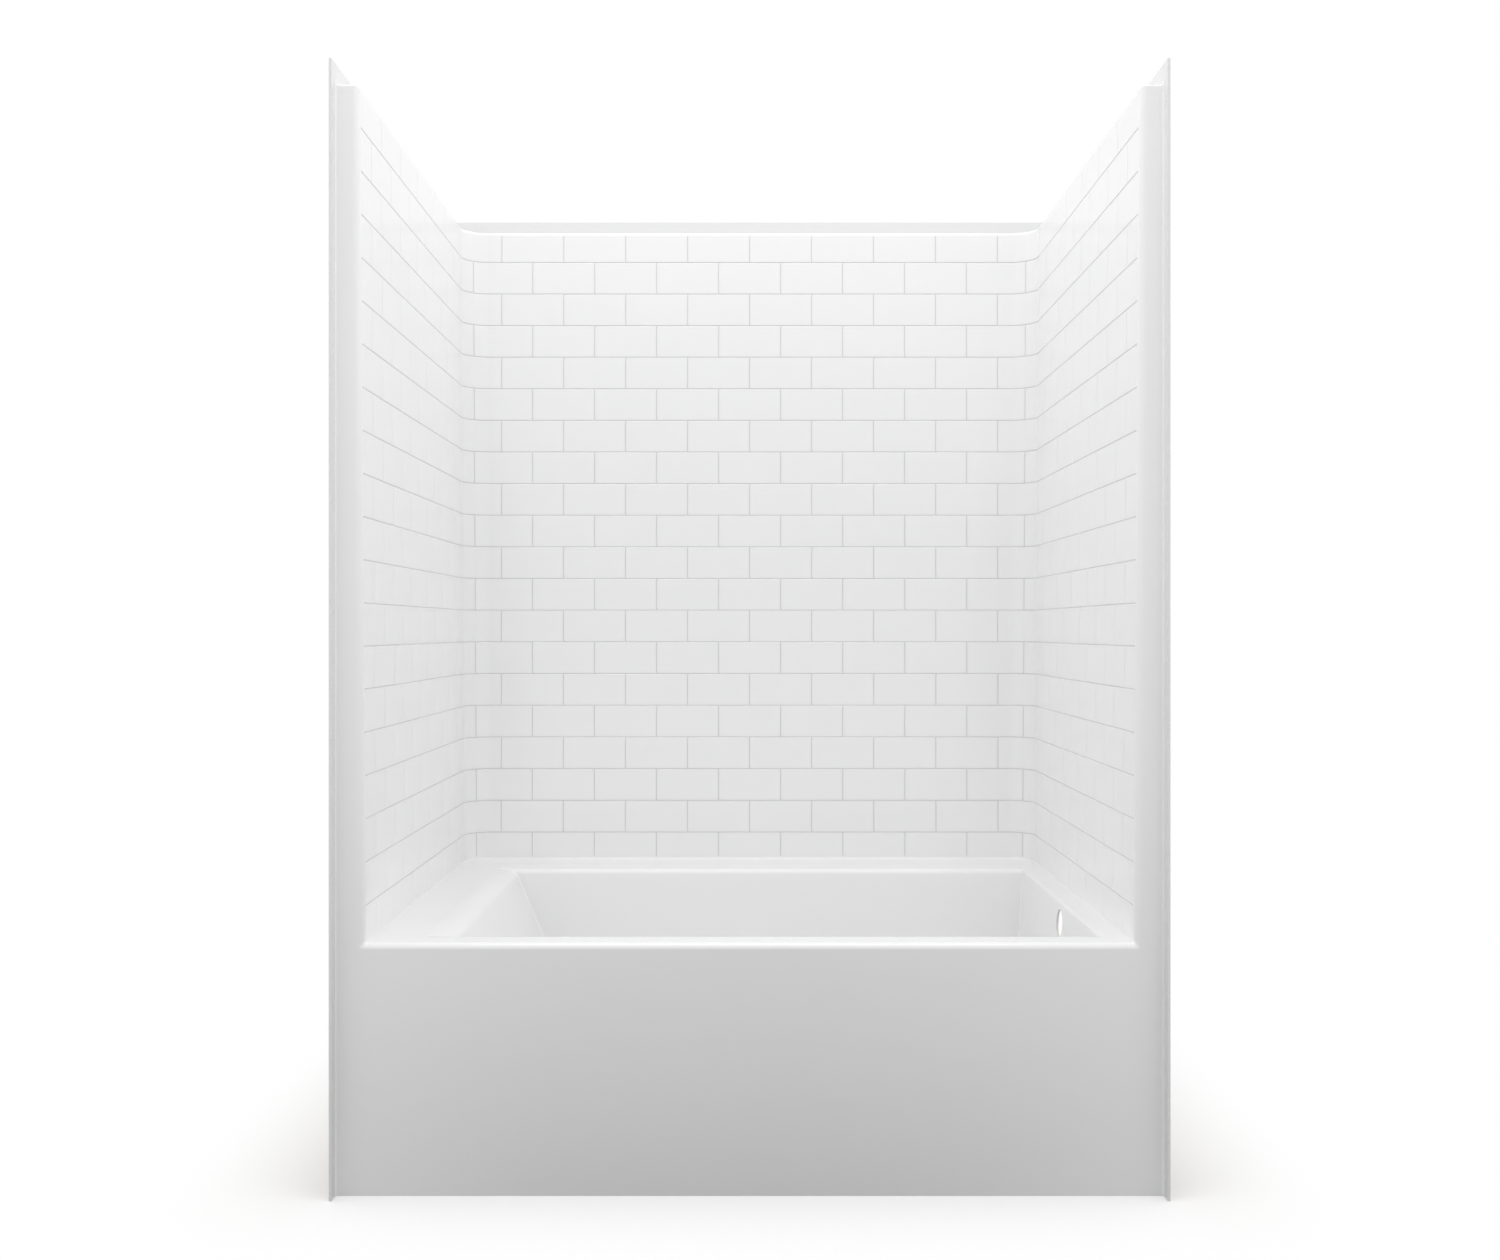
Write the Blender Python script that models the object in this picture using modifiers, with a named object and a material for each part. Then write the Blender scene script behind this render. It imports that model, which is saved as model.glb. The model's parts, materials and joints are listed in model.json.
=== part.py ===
"""One-piece tub and shower for a recess, with its bed, props and backing boards.

The moulding is one skin in life. Here it is cut into the panels that it is made of:
tub, apron, columns, tiled walls and corners, ledge and nailing flange. Behind and
under it are the timber and foam that carry it.

Metres, +Z up, +X towards the drain end, +Y towards the back wall. The origin is on
the floor, in the middle of the unit.
"""

import math

import bmesh
import bpy
from mathutils import Matrix, Vector

# Overall sizes
WIDTH = 1.524  # over the side flanges
DEPTH = 1.0928  # front flange's edge to the outside of the back flange
HEIGHT = 2.070  # floor to the top of the flange
SKIN = 0.005  # thickness of the moulding
GAP = 0.0003  # clearance between pieces that touch
OVERRUN = 0.010  # how far a cutter passes through what it cuts
MERGE_DISTANCE = 0.000001  # points closer than this are one

# Nailing flange and the ledge that it stands on
FLANGE_RISE = 0.038  # height above the ledge
FLANGE_PROUD = 0.026  # ahead of the apron's face
FLANGE_FOOT = 0.020  # width of the flange's foot on the ledge
FRONT_COVE = 0.005  # radius between front flange and column
LEDGE_COVE = 0.010  # radius between top flange and ledge

# Walls
SIDE_LEDGE = 0.0475  # side wall's face to the outside of the flange, at the top
BACK_LEDGE = 0.0508  # back wall's face to the outside of the flange, at the top
FRONT_ROUND = 0.012  # radius along the front edges of the rim and the columns
TOP_ROUND = 0.007  # radius at the top of the walls
CROWN_SHARE = 0.7  # bevel at the columns' tops against the skin's thickness
CORNER_RADIUS = 0.060  # plan radius of the two back corners
FOOT_COVE = 0.010  # radius between wall and deck
DRAFT_SHARE = 0.0065  # how far the walls lean in for each metre down

# Tile pattern
TILE_LENGTH = 0.155575
TILE_HEIGHT = 0.079375
TOP_TILE = 0.075  # top of the wall to the first level groove
GROOVE_WIDTH = 0.0036
GROOVE_DEPTH = 0.0012
JOINT_DEPTH_SHARE = 0.92  # upright joints against level grooves
CORNER_JOINT_SHARE = 0.42  # place of the joint in the corner's quarter turn

# Tub: lips are measured where the flat deck ends
RIM_HEIGHT = 0.462
ROLL_SKIRT = 0.006  # upright stretch below the rim's roll
DECK_CORNER = 0.003  # plan radius of the deck's front corners
LEFT_DECK = 0.129  # deck from the wall's foot line to the lip
RIGHT_DECK = 0.040
BACK_DECK = 0.154
FRONT_DECK = 0.0564  # apron's face to the front lip
BACKREST_LIP = 0.020  # lip radii
DRAIN_END_LIP = 0.008
LONG_LIP = 0.010
BACKREST_LEAN = math.radians(23.5)
DRAIN_END_LEAN = math.radians(4.0)
FRONT_LEAN = math.radians(4.0)
BACK_LEAN = math.radians(5.0)
BASIN_FOOT = 0.055  # radius between basin wall and floor
BASIN_CORNER_TOP = 0.022  # plan radii of the basin's corners
BASIN_CORNER_FLOOR = 0.075
FLOOR_HEIGHT = 0.072  # basin floor above the ground, at the drain
FLOOR_FALL_SHARE = 0.010  # fall of the basin floor towards the drain
DRAIN_DIAMETER = 0.052
DRAIN_FROM_END = 0.184  # drain's centre to the drain end's lip
OVERFLOW_DIAMETER = 0.059
OVERFLOW_DROP = 0.045  # overflow's centre below the rim
PLUMBING_OFFSET = -0.110  # drain and overflow from the middle of the unit

# Timber and foam under the tub
RUNNER_WIDTH = 0.064
RUNNER_HEIGHT = 0.038
RUNNER_INSET = 0.062  # runner's end to the outside of the unit
FRONT_RUNNER_OFFSET = -0.270
REAR_RUNNER_OFFSET = 0.190
BOARD_THICK = 0.012
BOARD_MARGIN = 0.008  # base board beyond the foam, each side
FOAM_MARGIN = 0.016  # foam inside the basin floor's flat, each side
FOAM_TO_DRAIN = 0.060  # end of the foam to the drain's centre
RAIL_THICK = 0.019
SIDE_RAIL_WIDTH = 0.064
DRAIN_RAIL_WIDTH = 0.030
BACK_RAIL_WIDTH = 0.089
RAIL_END_INSET = 0.100  # a deck rail's end to the corner of the deck
LEG = 0.038  # legs are square timber
DRAIN_LEG = 0.030
BACK_LEG_INSET = 0.144  # back leg's middle to the end of its rail
CLEAT = 0.038  # square timber behind the apron's foot
UPRIGHT_WIDTH = 0.064
UPRIGHT_INSET = 0.286  # outer uprights' middle to the end of the cleat

# Boards bonded to the backs of the walls
BACKING_THICK = 0.0095
BACKING_HEIGHT = 0.300
BACK_BACKING_INSET = 0.054  # board's end to the start of the corner
SIDE_BACKING_INSET = 0.120  # board's end to the end of the flat wall
BACK_BACKING_SHARES = (0.22, 0.53, 0.84)  # middles, up the wall from the rim
SIDE_BACKING_SHARES = (0.28, 0.82)

# Wood screws
SCREW_LENGTH = 0.032
CLEAT_SCREW_LENGTH = 0.060
SCREW_SHANK = 0.0021  # radii
SCREW_HEAD = 0.0042
SCREW_HEAD_DEPTH = 0.0032
SCREW_BLUNT_SHARE = 0.3  # width of the point's end against the shank
SCREW_POINT = 0.005
SCREW_SINK = 0.001  # depth of the cleat screws' heads
BASE_SCREW_INSET = 0.060  # first base screw to the end of the board

# Facets
ARC_STEPS = 4  # segments in a small radius
TURN_STEPS = 6  # segments in a corner's turn, of the walls and of the tub alike
HOLE_SIDES = 24
SCREW_SIDES = 10

# Places that follow from the sizes
OUTER_X = WIDTH / 2
OUTER_Y = DEPTH / 2
FLANGE_X = OUTER_X - SKIN
WALL_TOP = HEIGHT - FLANGE_RISE
FACE_X = OUTER_X - SIDE_LEDGE
FACE_Y = OUTER_Y - BACK_LEDGE
FRONT_Y = -OUTER_Y + FLANGE_PROUD
TILE_FRONT = FRONT_Y + FRONT_ROUND
COVE_X = FLANGE_X - FRONT_COVE
TURN_X = FACE_X - CORNER_RADIUS
TURN_Y = FACE_Y - CORNER_RADIUS
SEAM = GAP / 2
RUNNERS_Y = {"front": FRONT_RUNNER_OFFSET, "rear": REAR_RUNNER_OFFSET}


def lean_in(height):
    """How far the walls stand in from their top, at this height."""
    return DRAFT_SHARE * (WALL_TOP - height)


RIM_LEAN = lean_in(RIM_HEIGHT)
DECK_X = FACE_X - RIM_LEAN - FOOT_COVE - GAP
DECK_Y = FACE_Y - RIM_LEAN - FOOT_COVE - GAP
LIP_LEFT = -(DECK_X - LEFT_DECK + FOOT_COVE)
LIP_RIGHT = DECK_X - RIGHT_DECK + FOOT_COVE
LIP_BACK = DECK_Y - BACK_DECK + FOOT_COVE
LIP_FRONT = FRONT_Y + FRONT_DECK
ROLL_FOOT = RIM_HEIGHT - FRONT_ROUND - ROLL_SKIRT
DRAIN_X = LIP_RIGHT - DRAIN_FROM_END


class Side:
    """One side of the basin in section: lip, straight wall and foot."""

    def __init__(self, lip, lean):
        self.lip = lip
        self.lean = lean
        self.depth = RIM_HEIGHT - FLOOR_HEIGHT
        self.lip_end = lip * (1 - math.sin(lean))
        self.foot_start = self.depth - BASIN_FOOT * (1 - math.sin(lean))
        straight = (self.foot_start - self.lip_end) * math.tan(lean)
        self.floor_inset = lip * math.cos(lean) + straight + BASIN_FOOT * math.cos(lean)

    def inset(self, drop):
        """Distance in from the lip line at this depth below the rim."""
        if drop <= self.lip_end:
            return math.sqrt(self.lip**2 - (self.lip - drop) ** 2)
        if drop <= self.foot_start:
            return self.lip * math.cos(self.lean) + (drop - self.lip_end) * math.tan(self.lean)
        rise = max(0.0, BASIN_FOOT - (self.depth - drop))
        return self.floor_inset - math.sqrt(max(0.0, BASIN_FOOT**2 - rise**2))


LEFT = Side(BACKREST_LIP, BACKREST_LEAN)
RIGHT = Side(DRAIN_END_LIP, DRAIN_END_LEAN)
FRONT = Side(LONG_LIP, FRONT_LEAN)
BACK = Side(LONG_LIP, BACK_LEAN)


def clear_scene():
    for old in list(bpy.data.objects):
        bpy.data.objects.remove(old)


def make_collection(name):
    collection = bpy.data.collections.new(name)
    bpy.context.scene.collection.children.link(collection)
    return collection


def make_material(name, colour, roughness, metallic=0.0):
    material = bpy.data.materials.new(name)
    material.use_nodes = True
    shader = material.node_tree.nodes["Principled BSDF"]
    shader.inputs["Base Color"].default_value = (*colour, 1.0)
    shader.inputs["Roughness"].default_value = roughness
    shader.inputs["Metallic"].default_value = metallic
    material.diffuse_color = (*colour, 1.0)
    return material


clear_scene()
PARTS = make_collection("tub_and_shower_unit")
CUTTERS = make_collection("cutters")
GELCOAT = make_material("white_gelcoat", (0.86, 0.86, 0.86), 0.12)
PINE = make_material("pine", (0.62, 0.43, 0.24), 0.75)
PLYWOOD = make_material("plywood", (0.52, 0.36, 0.20), 0.80)
FOAM = make_material("rigid_foam", (0.78, 0.66, 0.36), 0.95)
STEEL = make_material("zinc_steel", (0.62, 0.62, 0.60), 0.35, metallic=1.0)


def add_part(name, bm, material, smooth=False):
    """Makes an object of the mesh, with its normals pointing out."""
    bmesh.ops.recalc_face_normals(bm, faces=bm.faces)
    mesh = bpy.data.meshes.new(name)
    bm.to_mesh(mesh)
    bm.free()
    if smooth:
        mesh.shade_smooth()
        mesh.set_sharp_from_angle(angle=math.radians(30))
    mesh.materials.append(material)
    part = bpy.data.objects.new(name, mesh)
    PARTS.objects.link(part)
    return part


def add_cutter(name, bm):
    bmesh.ops.recalc_face_normals(bm, faces=bm.faces)
    mesh = bpy.data.meshes.new(name)
    bm.to_mesh(mesh)
    bm.free()
    cutter = bpy.data.objects.new(name, mesh)
    cutter.hide_render = True
    cutter.display_type = "WIRE"
    CUTTERS.objects.link(cutter)
    return cutter


def cut(part, cutter, operation="DIFFERENCE"):
    boolean = part.modifiers.new(cutter.name, "BOOLEAN")
    boolean.operation = operation
    boolean.solver = "EXACT"
    boolean.object = cutter


def bake(part):
    """Replaces the part's mesh with what its modifiers make of it."""
    bpy.context.view_layer.update()
    graph = bpy.context.evaluated_depsgraph_get()
    baked = bpy.data.meshes.new_from_object(part.evaluated_get(graph))
    part.modifiers.clear()
    part.data = baked


def arc(centre, radius, start, end, steps=ARC_STEPS):
    """Points of an arc in the plane, from one angle in degrees to another."""
    turns = [math.radians(start + (end - start) * i / steps) for i in range(steps + 1)]
    return [(centre[0] + radius * math.cos(t), centre[1] + radius * math.sin(t)) for t in turns]


def extrude_outline(outline, place, along):
    """A solid with this flat outline. place turns an outline point into a vector."""
    bm = bmesh.new()
    face = bm.faces.new([bm.verts.new(place(*point)) for point in outline])
    pulled = bmesh.ops.extrude_face_region(bm, geom=[face])["geom"]
    moved = [item for item in pulled if isinstance(item, bmesh.types.BMVert)]
    bmesh.ops.translate(bm, verts=moved, vec=along)
    return bm


def box(low, high):
    bm = bmesh.new()
    size = Vector(high) - Vector(low)
    centre = (Vector(high) + Vector(low)) / 2
    matrix = Matrix.Translation(centre) @ Matrix.Diagonal((*size, 1.0))
    bmesh.ops.create_cube(bm, size=1.0, matrix=matrix)
    return bm


def add_box(name, low, high, material):
    return add_part(name, box(low, high), material)


def level_grooves():
    """Heights of the level grooves, from the top down."""
    heights = []
    height = WALL_TOP - TOP_TILE
    while height > RIM_HEIGHT + FOOT_COVE + GROOVE_WIDTH:
        heights.append(height)
        height -= TILE_HEIGHT
    return heights


def wall_outline():
    """Section of a tiled wall: distance behind its face, and height."""
    low = RIM_HEIGHT - SKIN
    points = [(-FOOT_COVE, low)]
    points += arc((-FOOT_COVE, RIM_HEIGHT + FOOT_COVE), FOOT_COVE, -90, 0, ARC_STEPS - 1)
    for height in reversed(level_grooves()):
        points.append((0.0, height - GROOVE_WIDTH / 2))
        points.append((GROOVE_DEPTH, height))
        points.append((0.0, height + GROOVE_WIDTH / 2))
    centre = (TOP_ROUND, WALL_TOP - TOP_ROUND)
    points += arc(centre, TOP_ROUND, 180, 90, ARC_STEPS - 1)
    points += [(TOP_ROUND, WALL_TOP - SKIN), (SKIN, WALL_TOP - TOP_ROUND), (SKIN, low)]
    return points


def joint_bar(bm, x, y, turn, low, high):
    """An upright bar of diamond section whose half inside the wall cuts one joint."""
    half = (GROOVE_WIDTH / 2, GROOVE_DEPTH * JOINT_DEPTH_SHARE)
    place = Matrix.Translation((x, y, (low + high) / 2)) @ Matrix.Rotation(turn, 4, "Z")
    bmesh.ops.create_cone(
        bm,
        cap_ends=True,
        segments=4,
        radius1=1.0,
        radius2=1.0,
        depth=high - low,
        matrix=place @ Matrix.Diagonal((*half, 1.0, 1.0)),
    )


def tile_rows():
    """Each row of tiles as its number from the top, its lower and its upper end."""
    lines = level_grooves()
    uppers = [WALL_TOP - TOP_ROUND, *lines]
    lowers = [*lines, RIM_HEIGHT + FOOT_COVE]
    return [(row, low, high) for row, (low, high) in enumerate(zip(lowers, uppers))]


def along_back(row):
    """Joints of the back wall in this row, from its middle."""
    first = 0.5 * TILE_LENGTH if row % 2 else 0.0
    count = int((TURN_X - GROOVE_WIDTH - first) / TILE_LENGTH) + 1
    right = [first + TILE_LENGTH * step for step in range(count)]
    return sorted({-x for x in right} | set(right))


def along_side(row):
    """Joints of a side wall in this row, from front to back."""
    first = TILE_FRONT + TILE_LENGTH * (0.5 if row % 2 else 1.0)
    count = int((TURN_Y - GROOVE_WIDTH - first) / TILE_LENGTH) + 1
    return [first + TILE_LENGTH * step for step in range(count)]


def lean_back(part):
    """Leans the back wall's points: in at the foot, and its ends towards the middle."""
    for vertex in part.data.vertices:
        step = lean_in(vertex.co.z)
        vertex.co.y -= step
        if abs(vertex.co.x) > TURN_X - GAP:
            vertex.co.x -= math.copysign(step, vertex.co.x)


def lean_side(part):
    """Leans a side wall's points: in at the foot, and its back end forwards."""
    for vertex in part.data.vertices:
        step = lean_in(vertex.co.z)
        vertex.co.x -= math.copysign(step, vertex.co.x)
        if vertex.co.y > TURN_Y - GAP:
            vertex.co.y -= step


def lean_corner(part):
    for vertex in part.data.vertices:
        step = lean_in(vertex.co.z)
        vertex.co.x -= math.copysign(step, vertex.co.x)
        vertex.co.y -= step


def add_back_wall():
    reach = TURN_X - SEAM
    bm = extrude_outline(
        wall_outline(),
        lambda back, height: Vector((-reach, FACE_Y + back, height)),
        Vector((2 * reach, 0, 0)),
    )
    wall = add_part("back_wall", bm, GELCOAT)
    bars = bmesh.new()
    for row, low, high in tile_rows():
        for x in along_back(row):
            joint_bar(bars, x, FACE_Y, 0.0, low, high)
    cut(wall, add_cutter("back_wall_joints", bars))
    bake(wall)
    lean_back(wall)


def add_side_wall(name, side):
    """side is -1 for the left wall and 1 for the right one."""
    front, back = TILE_FRONT + SEAM, TURN_Y - SEAM
    bm = extrude_outline(
        wall_outline(),
        lambda behind, height: Vector((side * (FACE_X + behind), front, height)),
        Vector((0, back - front, 0)),
    )
    wall = add_part(name, bm, GELCOAT)
    bars = bmesh.new()
    for row, low, high in tile_rows():
        for y in along_side(row):
            joint_bar(bars, side * FACE_X, y, math.pi / 2, low, high)
    cut(wall, add_cutter(name + "_joints", bars))
    bake(wall)
    lean_side(wall)


def add_corner(name, side):
    """The wall's section swept round a back corner."""
    bm = bmesh.new()
    hub = Vector((side * TURN_X, TURN_Y, 0))
    start = hub + Vector((0, CORNER_RADIUS, 0))
    points = [Vector((start.x, start.y + back, height)) for back, height in wall_outline()]
    face = bm.faces.new([bm.verts.new(point) for point in points])
    seam_turn = math.asin(SEAM / CORNER_RADIUS)
    bmesh.ops.rotate(
        bm, verts=bm.verts, cent=hub, matrix=Matrix.Rotation(-side * seam_turn, 3, "Z")
    )
    bmesh.ops.spin(
        bm,
        geom=[face],
        cent=hub,
        axis=(0, 0, 1),
        dvec=(0, 0, 0),
        angle=-side * (math.pi / 2 - 2 * seam_turn),
        steps=TURN_STEPS,
    )
    corner = add_part(name, bm, GELCOAT)
    turn = CORNER_JOINT_SHARE * math.pi / 2
    # The bar lies on a facet, which is nearer to the hub than the arc is.
    step = math.pi / 2 / TURN_STEPS
    off_middle = turn - (math.floor(turn / step) + 0.5) * step
    reach = CORNER_RADIUS * math.cos(step / 2) / math.cos(off_middle)
    joint = hub + Vector((side * math.sin(turn), math.cos(turn), 0)) * reach
    bars = bmesh.new()
    for row, low, high in tile_rows():
        if row % 2:
            joint_bar(bars, joint.x, joint.y, -side * turn, low, high)
    cut(corner, add_cutter(name + "_joints", bars))
    bake(corner)
    lean_corner(corner)


def bevel_edges(bm, wanted, width):
    edges = [edge for edge in bm.edges if all(wanted(vertex.co) for vertex in edge.verts)]
    bmesh.ops.bevel(
        bm,
        geom=edges,
        offset=width,
        offset_type="OFFSET",
        affect="EDGES",
        segments=2,
        profile=0.5,
        material=-1,
    )


def add_column(name, side):
    """Upright front edge of the unit, above the apron."""
    outer = COVE_X - GAP
    centre = (FACE_X + FRONT_ROUND, TILE_FRONT)
    outline = [(outer, FRONT_Y)]
    outline += arc(centre, FRONT_ROUND, 270, 180)
    outline += arc(centre, FRONT_ROUND - SKIN, 180, 270, ARC_STEPS - 1)
    outline.append((outer, FRONT_Y + SKIN))
    bm = extrude_outline(
        outline,
        lambda x, y: Vector((side * x, y, ROLL_FOOT)),
        Vector((0, 0, WALL_TOP - ROLL_FOOT)),
    )
    reach = FRONT_ROUND - SKIN / 2

    def on_crown(point):
        from_centre = math.hypot(abs(point.x) - centre[0], point.y - centre[1])
        on_arc = abs(point.x) < centre[0] and from_centre > reach
        return point.z > WALL_TOP - GAP and (on_arc or point.y < FRONT_Y + GAP)

    bevel_edges(bm, on_crown, SKIN * CROWN_SHARE)
    column = add_part(name, bm, GELCOAT, smooth=True)
    for vertex in column.data.vertices:
        if abs(vertex.co.x) < outer - GAP:
            vertex.co.x -= side * lean_in(vertex.co.z)


def add_front_flange(name, side):
    """Forward flange at the unit's side, with the cove that leads to the column."""
    outline = [(OUTER_X, -OUTER_Y), (FLANGE_X, -OUTER_Y)]
    outline += arc((COVE_X, FRONT_Y - FRONT_COVE), FRONT_COVE, 0, 90, ARC_STEPS + 1)
    outline += [(COVE_X, FRONT_Y + SKIN), (OUTER_X, FRONT_Y + SKIN)]
    bm = extrude_outline(
        outline,
        lambda x, y: Vector((side * x, y, 0)),
        Vector((0, 0, WALL_TOP)),
    )
    flange = add_part(name, bm, GELCOAT)
    ends = sorted((side * FLANGE_X, side * OUTER_X))
    tip = box(
        (ends[0], -OUTER_Y, WALL_TOP - OVERRUN),
        (ends[1], FRONT_Y + SKIN, HEIGHT),
    )
    cut(flange, add_cutter(name + "_tip", tip), "UNION")


def top_flange_outline():
    """Section of the top flange: distance in from its outside, and height."""
    points = [(0.0, WALL_TOP - SKIN), (0.0, HEIGHT), (SKIN, HEIGHT)]
    centre = (SKIN + LEDGE_COVE, WALL_TOP + LEDGE_COVE)
    points += arc(centre, LEDGE_COVE, 180, 270)
    points += [(FLANGE_FOOT, WALL_TOP), (FLANGE_FOOT, WALL_TOP - SKIN)]
    return points


def loft(rings):
    """A solid between two outlines that have as many points as each other."""
    bm = bmesh.new()
    loops = [[bm.verts.new(point) for point in ring] for ring in rings]
    count = len(loops[0])
    for first, second in zip(loops, loops[1:]):
        for i in range(count):
            j = (i + 1) % count
            bm.faces.new((first[i], first[j], second[j], second[i]))
    bm.faces.new(loops[0])
    bm.faces.new(loops[-1])
    return bm


def add_top_flange():
    outline = top_flange_outline()
    front = FRONT_Y + SKIN + GAP
    for name, side in (("left_top_flange", -1), ("right_top_flange", 1)):
        ends = [
            [Vector((side * (OUTER_X - inward), front, height)) for inward, height in outline],
            [
                Vector((side * (OUTER_X - inward), OUTER_Y - inward - GAP, height))
                for inward, height in outline
            ],
        ]
        add_part(name, loft(ends), GELCOAT)
    ends = [
        [
            Vector((side * (OUTER_X - inward - GAP), OUTER_Y - inward, height))
            for inward, height in outline
        ]
        for side in (-1, 1)
    ]
    add_part("back_top_flange", loft(ends), GELCOAT)


def add_ledges():
    """The level ledge between the tops of the walls and the foot of the flange."""
    low = WALL_TOP - SKIN
    inner = FACE_X + TOP_ROUND + GAP
    outer = OUTER_X - FLANGE_FOOT - GAP
    front = FRONT_Y + SKIN + GAP
    up = Vector((0, 0, SKIN))
    # The front inner corner is taken off, to clear the column's turn.
    outline = [
        (outer, front),
        (outer, TURN_Y - SEAM),
        (inner, TURN_Y - SEAM),
        (inner, TILE_FRONT),
        (FACE_X + FRONT_ROUND, front),
    ]
    for name, side in (("left_ledge", -1), ("right_ledge", 1)):
        bm = extrude_outline(outline, lambda x, y, side=side: Vector((side * x, y, low)), up)
        add_part(name, bm, GELCOAT)
    radius = CORNER_RADIUS + TOP_ROUND + GAP
    start = TURN_Y + SEAM
    right = [(outer, start), (TURN_X + radius, start)]
    right += arc((TURN_X, TURN_Y), radius, 0, 90, TURN_STEPS)[1:]
    left = [(-x, y) for x, y in reversed(right)]
    back = OUTER_Y - FLANGE_FOOT - GAP
    outline = [*right, *left, (-outer, back), (outer, back)]
    bm = extrude_outline(outline, lambda x, y: Vector((x, y, low)), up)
    add_part("back_ledge", bm, GELCOAT)


def ring(left, right, front, back, front_radius, back_radius, height):
    """A rounded rectangle, from its back right corner, as seen from above."""
    corners = (
        (right - back_radius, back - back_radius, back_radius, 0),
        (left + back_radius, back - back_radius, back_radius, 90),
        (left + front_radius, front + front_radius, front_radius, 180),
        (right - front_radius, front + front_radius, front_radius, 270),
    )
    points = []
    for x, y, radius, start in corners:
        points += arc((x, y), radius, start, start + 90, TURN_STEPS)
    return [Vector((x, y, height)) for x, y in points]


def basin_ring(drop):
    """The basin's outline at this depth below the rim, with the floor's fall."""
    share = min(1.0, drop / (RIM_HEIGHT - FLOOR_HEIGHT))
    radius = BASIN_CORNER_TOP + (BASIN_CORNER_FLOOR - BASIN_CORNER_TOP) * share
    points = ring(
        LIP_LEFT + LEFT.inset(drop),
        LIP_RIGHT - RIGHT.inset(drop),
        LIP_FRONT + FRONT.inset(drop),
        LIP_BACK - BACK.inset(drop),
        radius,
        radius,
        RIM_HEIGHT - drop,
    )
    if drop >= FRONT.foot_start:
        for point in points:
            point.z += floor_rise(point.x)
    return points


def floor_rise(x):
    """How much higher the basin floor is here than at the drain."""
    return FLOOR_FALL_SHARE * (DRAIN_X - x)


def basin_drops():
    """Depths below the rim at which the basin's outline is drawn."""
    depth = RIM_HEIGHT - FLOOR_HEIGHT
    lips = [LONG_LIP * (1 - math.cos(math.radians(turn))) for turn in (0, 30, 60, 82)]
    lips.append(LEFT.lip_end)
    feet = [depth - BASIN_FOOT * (1 - math.cos(math.radians(turn))) for turn in (85, 60, 35, 0)]
    return [*lips, *feet]


def add_bathtub():
    """Deck, rolled front edge and basin, as one open skin that is then thickened."""
    bm = bmesh.new()
    deck_front = FRONT_Y + FRONT_ROUND
    back_radius = CORNER_RADIUS - FOOT_COVE
    deck = ring(
        -DECK_X, DECK_X, deck_front, DECK_Y, DECK_CORNER, back_radius, RIM_HEIGHT
    )
    rings = [deck, *(basin_ring(drop) for drop in basin_drops())]
    loops = [[bm.verts.new(point) for point in points] for points in rings]
    count = len(loops[0])
    for outer, inner in zip(loops, loops[1:]):
        for i in range(count):
            j = (i + 1) % count
            bm.faces.new((outer[i], outer[j], inner[j], inner[i]))
    bm.faces.new(loops[-1])
    roll_front_edge(bm, deck_front)
    tub = add_part("bathtub", bm, GELCOAT, smooth=True)
    face_up(tub)
    wall = tub.modifiers.new("wall", "SOLIDIFY")
    wall.thickness = SKIN
    wall.offset = -1
    wall.use_even_offset = True
    cut(tub, add_cutter("drain_hole", drain_cutter()))
    cut(tub, add_cutter("overflow_hole", overflow_cutter()))


def face_up(part):
    """Turns an open skin over if its floor faces down."""
    lowest = min(part.data.polygons, key=lambda face: face.center.z)
    if lowest.normal.z < 0:
        part.data.flip_normals()


def roll_front_edge(bm, deck_front):
    """Rolls the deck's front edge down to the top of the apron."""
    edge = next(
        edge
        for edge in bm.edges
        if edge.is_boundary
        and all(abs(vertex.co.y - deck_front) < GAP for vertex in edge.verts)
        and edge.calc_length() > DECK_X
    )
    reach = FACE_X - RIM_LEAN - GAP
    roll = arc((deck_front, RIM_HEIGHT - FRONT_ROUND), FRONT_ROUND, 90, 180)
    for y, height in [*roll[1:], (FRONT_Y, ROLL_FOOT)]:
        pulled = bmesh.ops.extrude_edge_only(bm, edges=[edge])["geom"]
        edge = next(item for item in pulled if isinstance(item, bmesh.types.BMEdge))
        for vertex in edge.verts:
            vertex.co = (math.copysign(reach, vertex.co.x), y, height)


def cylinder(radius, length, matrix, sides=HOLE_SIDES):
    bm = bmesh.new()
    bmesh.ops.create_cone(
        bm,
        cap_ends=True,
        segments=sides,
        radius1=radius,
        radius2=radius,
        depth=length,
        matrix=matrix,
    )
    return bm


def drain_cutter():
    place = Matrix.Translation((DRAIN_X, PLUMBING_OFFSET, FLOOR_HEIGHT - SKIN / 2))
    return cylinder(DRAIN_DIAMETER / 2, SKIN + 2 * OVERRUN, place)


def overflow_cutter():
    x = LIP_RIGHT - RIGHT.inset(OVERFLOW_DROP) + SKIN / 2
    place = Matrix.Translation((x, PLUMBING_OFFSET, RIM_HEIGHT - OVERFLOW_DROP))
    turn = Matrix.Rotation(math.pi / 2 + DRAIN_END_LEAN, 4, "Y")
    return cylinder(OVERFLOW_DIAMETER / 2, SKIN + 2 * OVERRUN, place @ turn)


def add_apron():
    reach = COVE_X - GAP
    high = (reach, FRONT_Y + SKIN, ROLL_FOOT - GAP)
    add_box("front_apron", (-reach, FRONT_Y, 0), high, GELCOAT)


def foam_reach():
    """Plan of the foam bed: its left, right, front and back."""
    return (
        LIP_LEFT + LEFT.floor_inset + FOAM_MARGIN,
        DRAIN_X - FOAM_TO_DRAIN,
        LIP_FRONT + FRONT.floor_inset + FOAM_MARGIN,
        LIP_BACK - BACK.floor_inset - FOAM_MARGIN,
    )


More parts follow.
